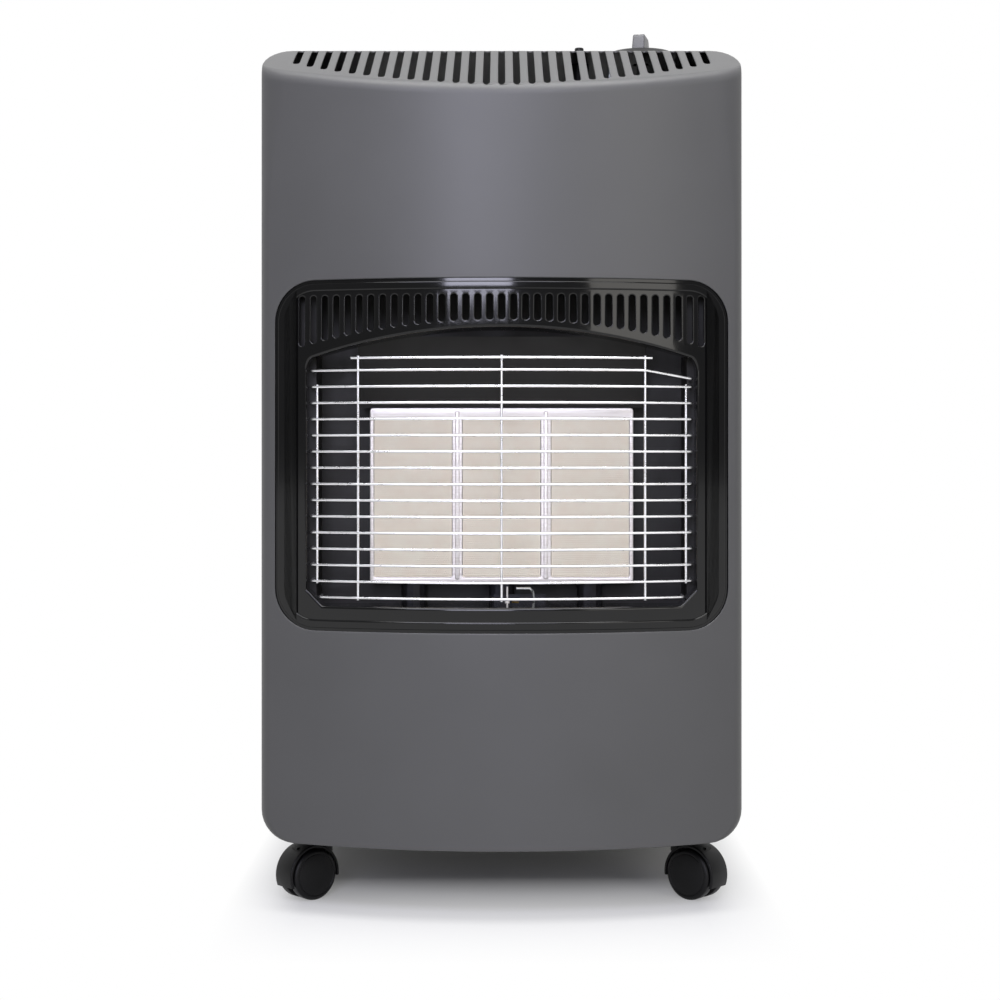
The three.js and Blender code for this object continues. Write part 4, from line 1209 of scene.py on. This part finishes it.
def make_bezel():
    """Shallow black dome with a well that the knob is sunk in."""
    profile = [
        (9, 0), (42, 0), (42, 1.2), (41.4, 2.0), (39.5, 3.4), (36.4, 4.8), (33, 6.6), (30.2, 8.1),
        (28.6, 8.9), (27.6, 9.0), (26.8, 8.8), (26.3, 8.2), (26, 7.2), (26, 2.4), (25.4, 1.5),
        (9, 1.5), (9, 0),
    ]
    bezel = lathe("knob_bezel", [(r * MM, z * MM) for r, z in profile], sides=96)
    moved(bezel, Matrix.Translation(knob_place + Vector((0, 0, bezel_seat))))
    finish(bezel, nylon, replaces=["control_bezel"])


def make_knob():
    """Grey moulded knob: a thin round skirt with one thick grip across it."""
    low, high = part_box("control_knob")
    foot, top = low.z, high.z
    profile = [(0, 0), (22, 0), (23, 0.8), (23, 2.1), (22.4, 2.8), (21.5, 3.0), (0, 3.0), (0, 0)]
    skirt = lathe("knob_skirt", [(r * MM, z * MM) for r, z in profile], sides=72)
    moved(skirt, Matrix.Translation((0, 0, foot)))
    grip = block("grip", (-6 * MM, -20 * MM, foot + MM), (6 * MM, 20 * MM, top))
    pick(grip, "faces", lambda f: f.normal.z > 0.9)
    bpy.ops.transform.resize(value=(0.9, 0.72, 1), center_override=(0, 0, top))
    done()
    bevel(grip, lambda e: all(v.co.z > top - 0.1 * MM for v in e.verts) and along(e, 0), 3 * MM, 5)
    bevel(grip, lambda e: abs(e.verts[0].co.x - e.verts[1].co.x) < 2 * MM, 1.0 * MM, 3)
    combine(skirt, grip, "UNION")
    mark = block("mark", (-0.6 * MM, -19 * MM, top - 0.6 * MM), (0.6 * MM, -3 * MM, top + 2 * MM))
    combine(skirt, mark)
    socket = rod("socket", 4.3 * MM, (0, 0, foot - 5 * MM), (0, 0, foot + 7.3 * MM), sides=24)
    combine(skirt, socket)
    turned = Matrix.Rotation(math.radians(-12), 4, "Z")
    moved(skirt, Matrix.Translation(knob_place) @ turned)
    skirt.name = "knob"
    finish(skirt, grey_abs, body="knob", replaces=["control_knob"])


def make_igniter():
    """Push igniter's rounded black button; its flanged body below the lid stays the imported piece.
    """
    low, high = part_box("piezo_button")
    radius = (high.x - low.x) / 2
    profile = [
        (0, low.z),
        (radius, low.z),
        (radius, high.z - 1 * MM),
        (radius - 0.35 * MM, high.z - 0.3 * MM),
        (radius - 1.1 * MM, high.z),
        (0, high.z),
        (0, low.z),
    ]
    button = lathe("igniter_button", profile, sides=40)
    moved(button, Matrix.Translation(igniter_place))
    finish(button, nylon, body="igniter_button", replaces=["piezo_button"])


make_bezel()
make_knob()
make_igniter()

# ---- Casters ----

wheel_radius = 22.5 * MM
caster_trail = 18 * MM
hood_inside = 24.1 * MM
hood_outside = 26.5 * MM
hood_foot_ahead = 13 * MM
hood_foot_behind = 19 * MM
casters = {
    "front_left": (-160.6, -106, 180 + 41),
    "front_right": (160.6, -106, -41),
    "rear_left": (-160, 150, 90 + math.degrees(0.5)),
    "rear_right": (160, 150, 90 - math.degrees(0.4)),
}


def caster_hood():
    """Moulded housing: an arched hood over both wheels, a web between them and a stem, which is
    steel on the real caster but shares the housing's black nylon here.
    """
    half, web_half, far = 12 * MM, 3.7 * MM, 60 * MM
    boss_top, stem_top = 54 * MM, 69.1 * MM
    hub = (caster_trail, wheel_radius)

    def across(name, radius, start, end, sides=64):
        return rod(name, radius, (hub[0], start, hub[1]), (hub[0], end, hub[1]), sides)

    hood = across("caster_hood", hood_outside, -half, half, 96)
    bevel(hood, lambda e: not along(e, 1), 1.2 * MM, 3)
    combine(hood, across("room", hood_inside, -half - 10 * MM, half + 10 * MM, 96))
    ahead = block("below_ahead", (hub[0], -far, -10 * MM), (far, far, hood_foot_ahead))
    combine(hood, ahead)
    high = (hub[0] + 0.1 * MM, far, hood_foot_behind)
    combine(hood, block("below_behind", (-far, -far, -10 * MM), high))
    web = across("web", wheel_radius - 4 * MM, -web_half, web_half)
    neck_top = wheel_radius + hood_inside + 0.5 * MM
    neck = block("neck", (4 * MM, -web_half, wheel_radius), (32 * MM, web_half, neck_top))
    boss = rod("boss", 8 * MM, (0, 0, 40 * MM), (0, 0, boss_top), 40)
    bevel(boss, lambda e: all(v.co.z > boss_top - 0.1 * MM for v in e.verts), 0.8 * MM)
    for side in (-1, 1):
        a, b = sorted((side * web_half, side * 26 * MM))
        combine(boss, across("wheel_room", hood_inside, a, b, 64))
    combine(hood, web, "UNION")
    combine(hood, neck, "UNION")
    combine(hood, boss, "UNION")
    stem = rod("stem", 5.5 * MM, (0, 0, boss_top - 5 * MM), (0, 0, stem_top), 32)
    bevel(stem, lambda e: all(v.co.z > stem_top - 0.1 * MM for v in e.verts), 0.8 * MM)
    combine(hood, stem, "UNION")
    combine(hood, across("bore", 3.3 * MM, -40 * MM, 40 * MM, 32))
    return hood


def caster_wheel(side):
    """Moulded wheel with a rounded tread and a cap that has a step and a low boss."""
    profile = [
        (3.4, 4), (21.3, 4), (22.2, 4.3), (22.5, 5), (22.5, 11.2), (22.3, 12.1), (21.7, 12.9),
        (20.6, 13.6), (19.6, 13.9), (19, 13.9), (18.7, 13.6), (18.3, 13.6), (18, 14), (15.4, 14.7),
        (10, 15.4), (6, 15.7), (0, 15.8), (0, 12), (3.4, 12), (3.4, 4),
    ]
    wheel = lathe("caster_wheel", [(r * MM, z * MM) for r, z in profile], sides=72)
    moved(wheel, Matrix.Rotation(-side * math.pi / 2, 4, "X"))
    return moved(wheel, Matrix.Translation((caster_trail, 0, wheel_radius)))


def make_casters():
    hood = caster_hood()
    wheels = {"a": caster_wheel(-1), "b": caster_wheel(1)}
    for name, (x, y, yaw) in casters.items():
        turned = Matrix.Rotation(math.radians(yaw), 4, "Z")
        place = Matrix.Translation((x * MM, y * MM, 0)) @ turned
        housing = copy_of(hood, f"caster_hood_{name}", turn=place)
        finish(housing, nylon, f"caster_{name}", [f"caster_housing_{name}"])
        for letter, master in wheels.items():
            wheel = copy_of(master, f"wheel_{name}_{letter}", turn=place)
            body = f"wheel_{name}_{letter}"
            finish(wheel, nylon, body, [f"caster_wheel_{name}_{letter}"])
    for master in (hood, *wheels.values()):
        bpy.data.objects.remove(master, do_unlink=True)


make_casters()

# ---- Stage ----


def make_floor():
    """Pale floor: grey where the shadow lies, and white beyond, with no horizon in the view."""
    deselect()
    bpy.ops.mesh.primitive_plane_add(size=30)
    floor = named("floor")
    material, tree, surface, place = shader("studio_floor", Roughness=0.9)
    surface.inputs["Base Color"].default_value = colour("#d2d2d2")
    axes = node(tree, "ShaderNodeSeparateXYZ", Vector=place)
    aside = node(tree, "ShaderNodeMath", {"operation": "ABSOLUTE"}, _0=axes.outputs["X"])
    near = None
    for distance, start, end in [
        (aside.outputs[0], 175 * MM, 245 * MM),
        (axes.outputs["Y"], -35 * MM, -345 * MM),
        (axes.outputs["Y"], 200 * MM, 340 * MM),
    ]:
        fade = {"From Min": start, "From Max": end, "To Min": 1, "To Max": 0}
        close = node(tree, "ShaderNodeMapRange", fade, Value=distance).outputs["Result"]
        if near is not None:
            both = node(tree, "ShaderNodeMath", {"operation": "MULTIPLY"}, _0=near, _1=close)
            close = both.outputs[0]
        near = close
    white = node(tree, "ShaderNodeEmission", {"Color": (1, 1, 1, 1), "Strength": 1.0}).outputs[0]
    seen = node(tree, "ShaderNodeMixShader", _0=near, _1=white, _2=surface.outputs[0]).outputs[0]
    # Diffuse rays meet a darker floor than the camera sees: painted shade, which dims the floor's
    # bounced light on the cabinet's lower body
    bounce_shade_floor = node(tree, "ShaderNodeBsdfDiffuse", {"Color": colour("#5a5a5a")}).outputs[0]
    rays = sees_backdrop(tree, "Is Transmission Ray", "Is Glossy Ray")
    mix = node(tree, "ShaderNodeMixShader", _0=rays, _1=bounce_shade_floor, _2=seen)
    tree.links.new(mix.outputs[0], tree.nodes["Material Output"].inputs["Surface"])
    floor.data.materials.append(material)


def make_world():
    """White backdrop that lights gently, and mirrors darker in front than behind."""
    world = bpy.data.worlds.new("studio")
    bpy.context.scene.world = world
    world.use_nodes = True
    tree = world.node_tree
    backdrop = tree.nodes["Background"]
    backdrop.inputs["Color"].default_value = (1, 1, 1, 1)
    look = node(tree, "ShaderNodeTexCoord").outputs["Generated"]
    depth = node(tree, "ShaderNodeSeparateXYZ", Vector=look).outputs["Y"]
    fade = {"From Min": -0.3, "From Max": 0.35, "To Min": 0.22, "To Max": 1.0}
    mirrored_light = node(tree, "ShaderNodeMapRange", fade, Value=depth).outputs["Result"]
    glossy = node(tree, "ShaderNodeLightPath").outputs["Is Glossy Ray"]
    soft_light = {"data_type": "FLOAT", 2: 0.34}
    light = node(tree, "ShaderNodeMix", soft_light, _0=glossy, _3=mirrored_light).outputs[0]
    rays = sees_backdrop(tree, "Is Transmission Ray")
    strength = node(tree, "ShaderNodeMix", {"data_type": "FLOAT", 3: 1.0}, _0=rays, _2=light)
    tree.links.new(strength.outputs[0], backdrop.inputs["Strength"])


def sees_backdrop(tree, *kinds):
    """1 for the camera's own rays and the named kinds, which see the white backdrop."""
    path = node(tree, "ShaderNodeLightPath")
    rays = path.outputs["Is Camera Ray"]
    for kind in kinds:
        either = node(
            tree, "ShaderNodeMath", {"operation": "MAXIMUM"}, _0=rays, _1=path.outputs[kind]
        )
        rays = either.outputs[0]
    return rays


def lamp(name, place, target, size, power, tint):
    """A rectangular softbox that faces its target."""
    data = bpy.data.lights.new(name, "AREA")
    data.shape = "RECTANGLE"
    data.size, data.size_y = size
    data.energy = power
    data.color = colour(tint)[:3]
    light = bpy.data.objects.new(name, data)
    bpy.context.scene.collection.objects.link(light)
    light.location = place
    light.rotation_euler = (Vector(target) - Vector(place)).to_track_quat("-Z", "Y").to_euler()


def make_lamps():
    lamp("overhead_softbox", (0.0, -0.5, 2.4), (0.0, -0.1, 0.5), (1.6, 1.2), 42, "#ffffff")
    lamp("front_softbox", (-0.32, -3.3, 1.25), (0.0, -0.2, 0.5), (0.95, 1.0), 44, "#eaeaff")
    lamp("front_fill", (1.6, -2.6, 1.3), (0.0, 0.0, 0.45), (1.2, 1.6), 17, "#fffcf6")
    lamp("high_softbox", (-0.2, -2.0, 2.1), (0.0, -0.2, 0.75), (1.6, 0.6), 24, "#e6e6ff")


bpy.context.scene.view_settings.view_transform = "Standard"
make_floor()
make_world()
make_lamps()
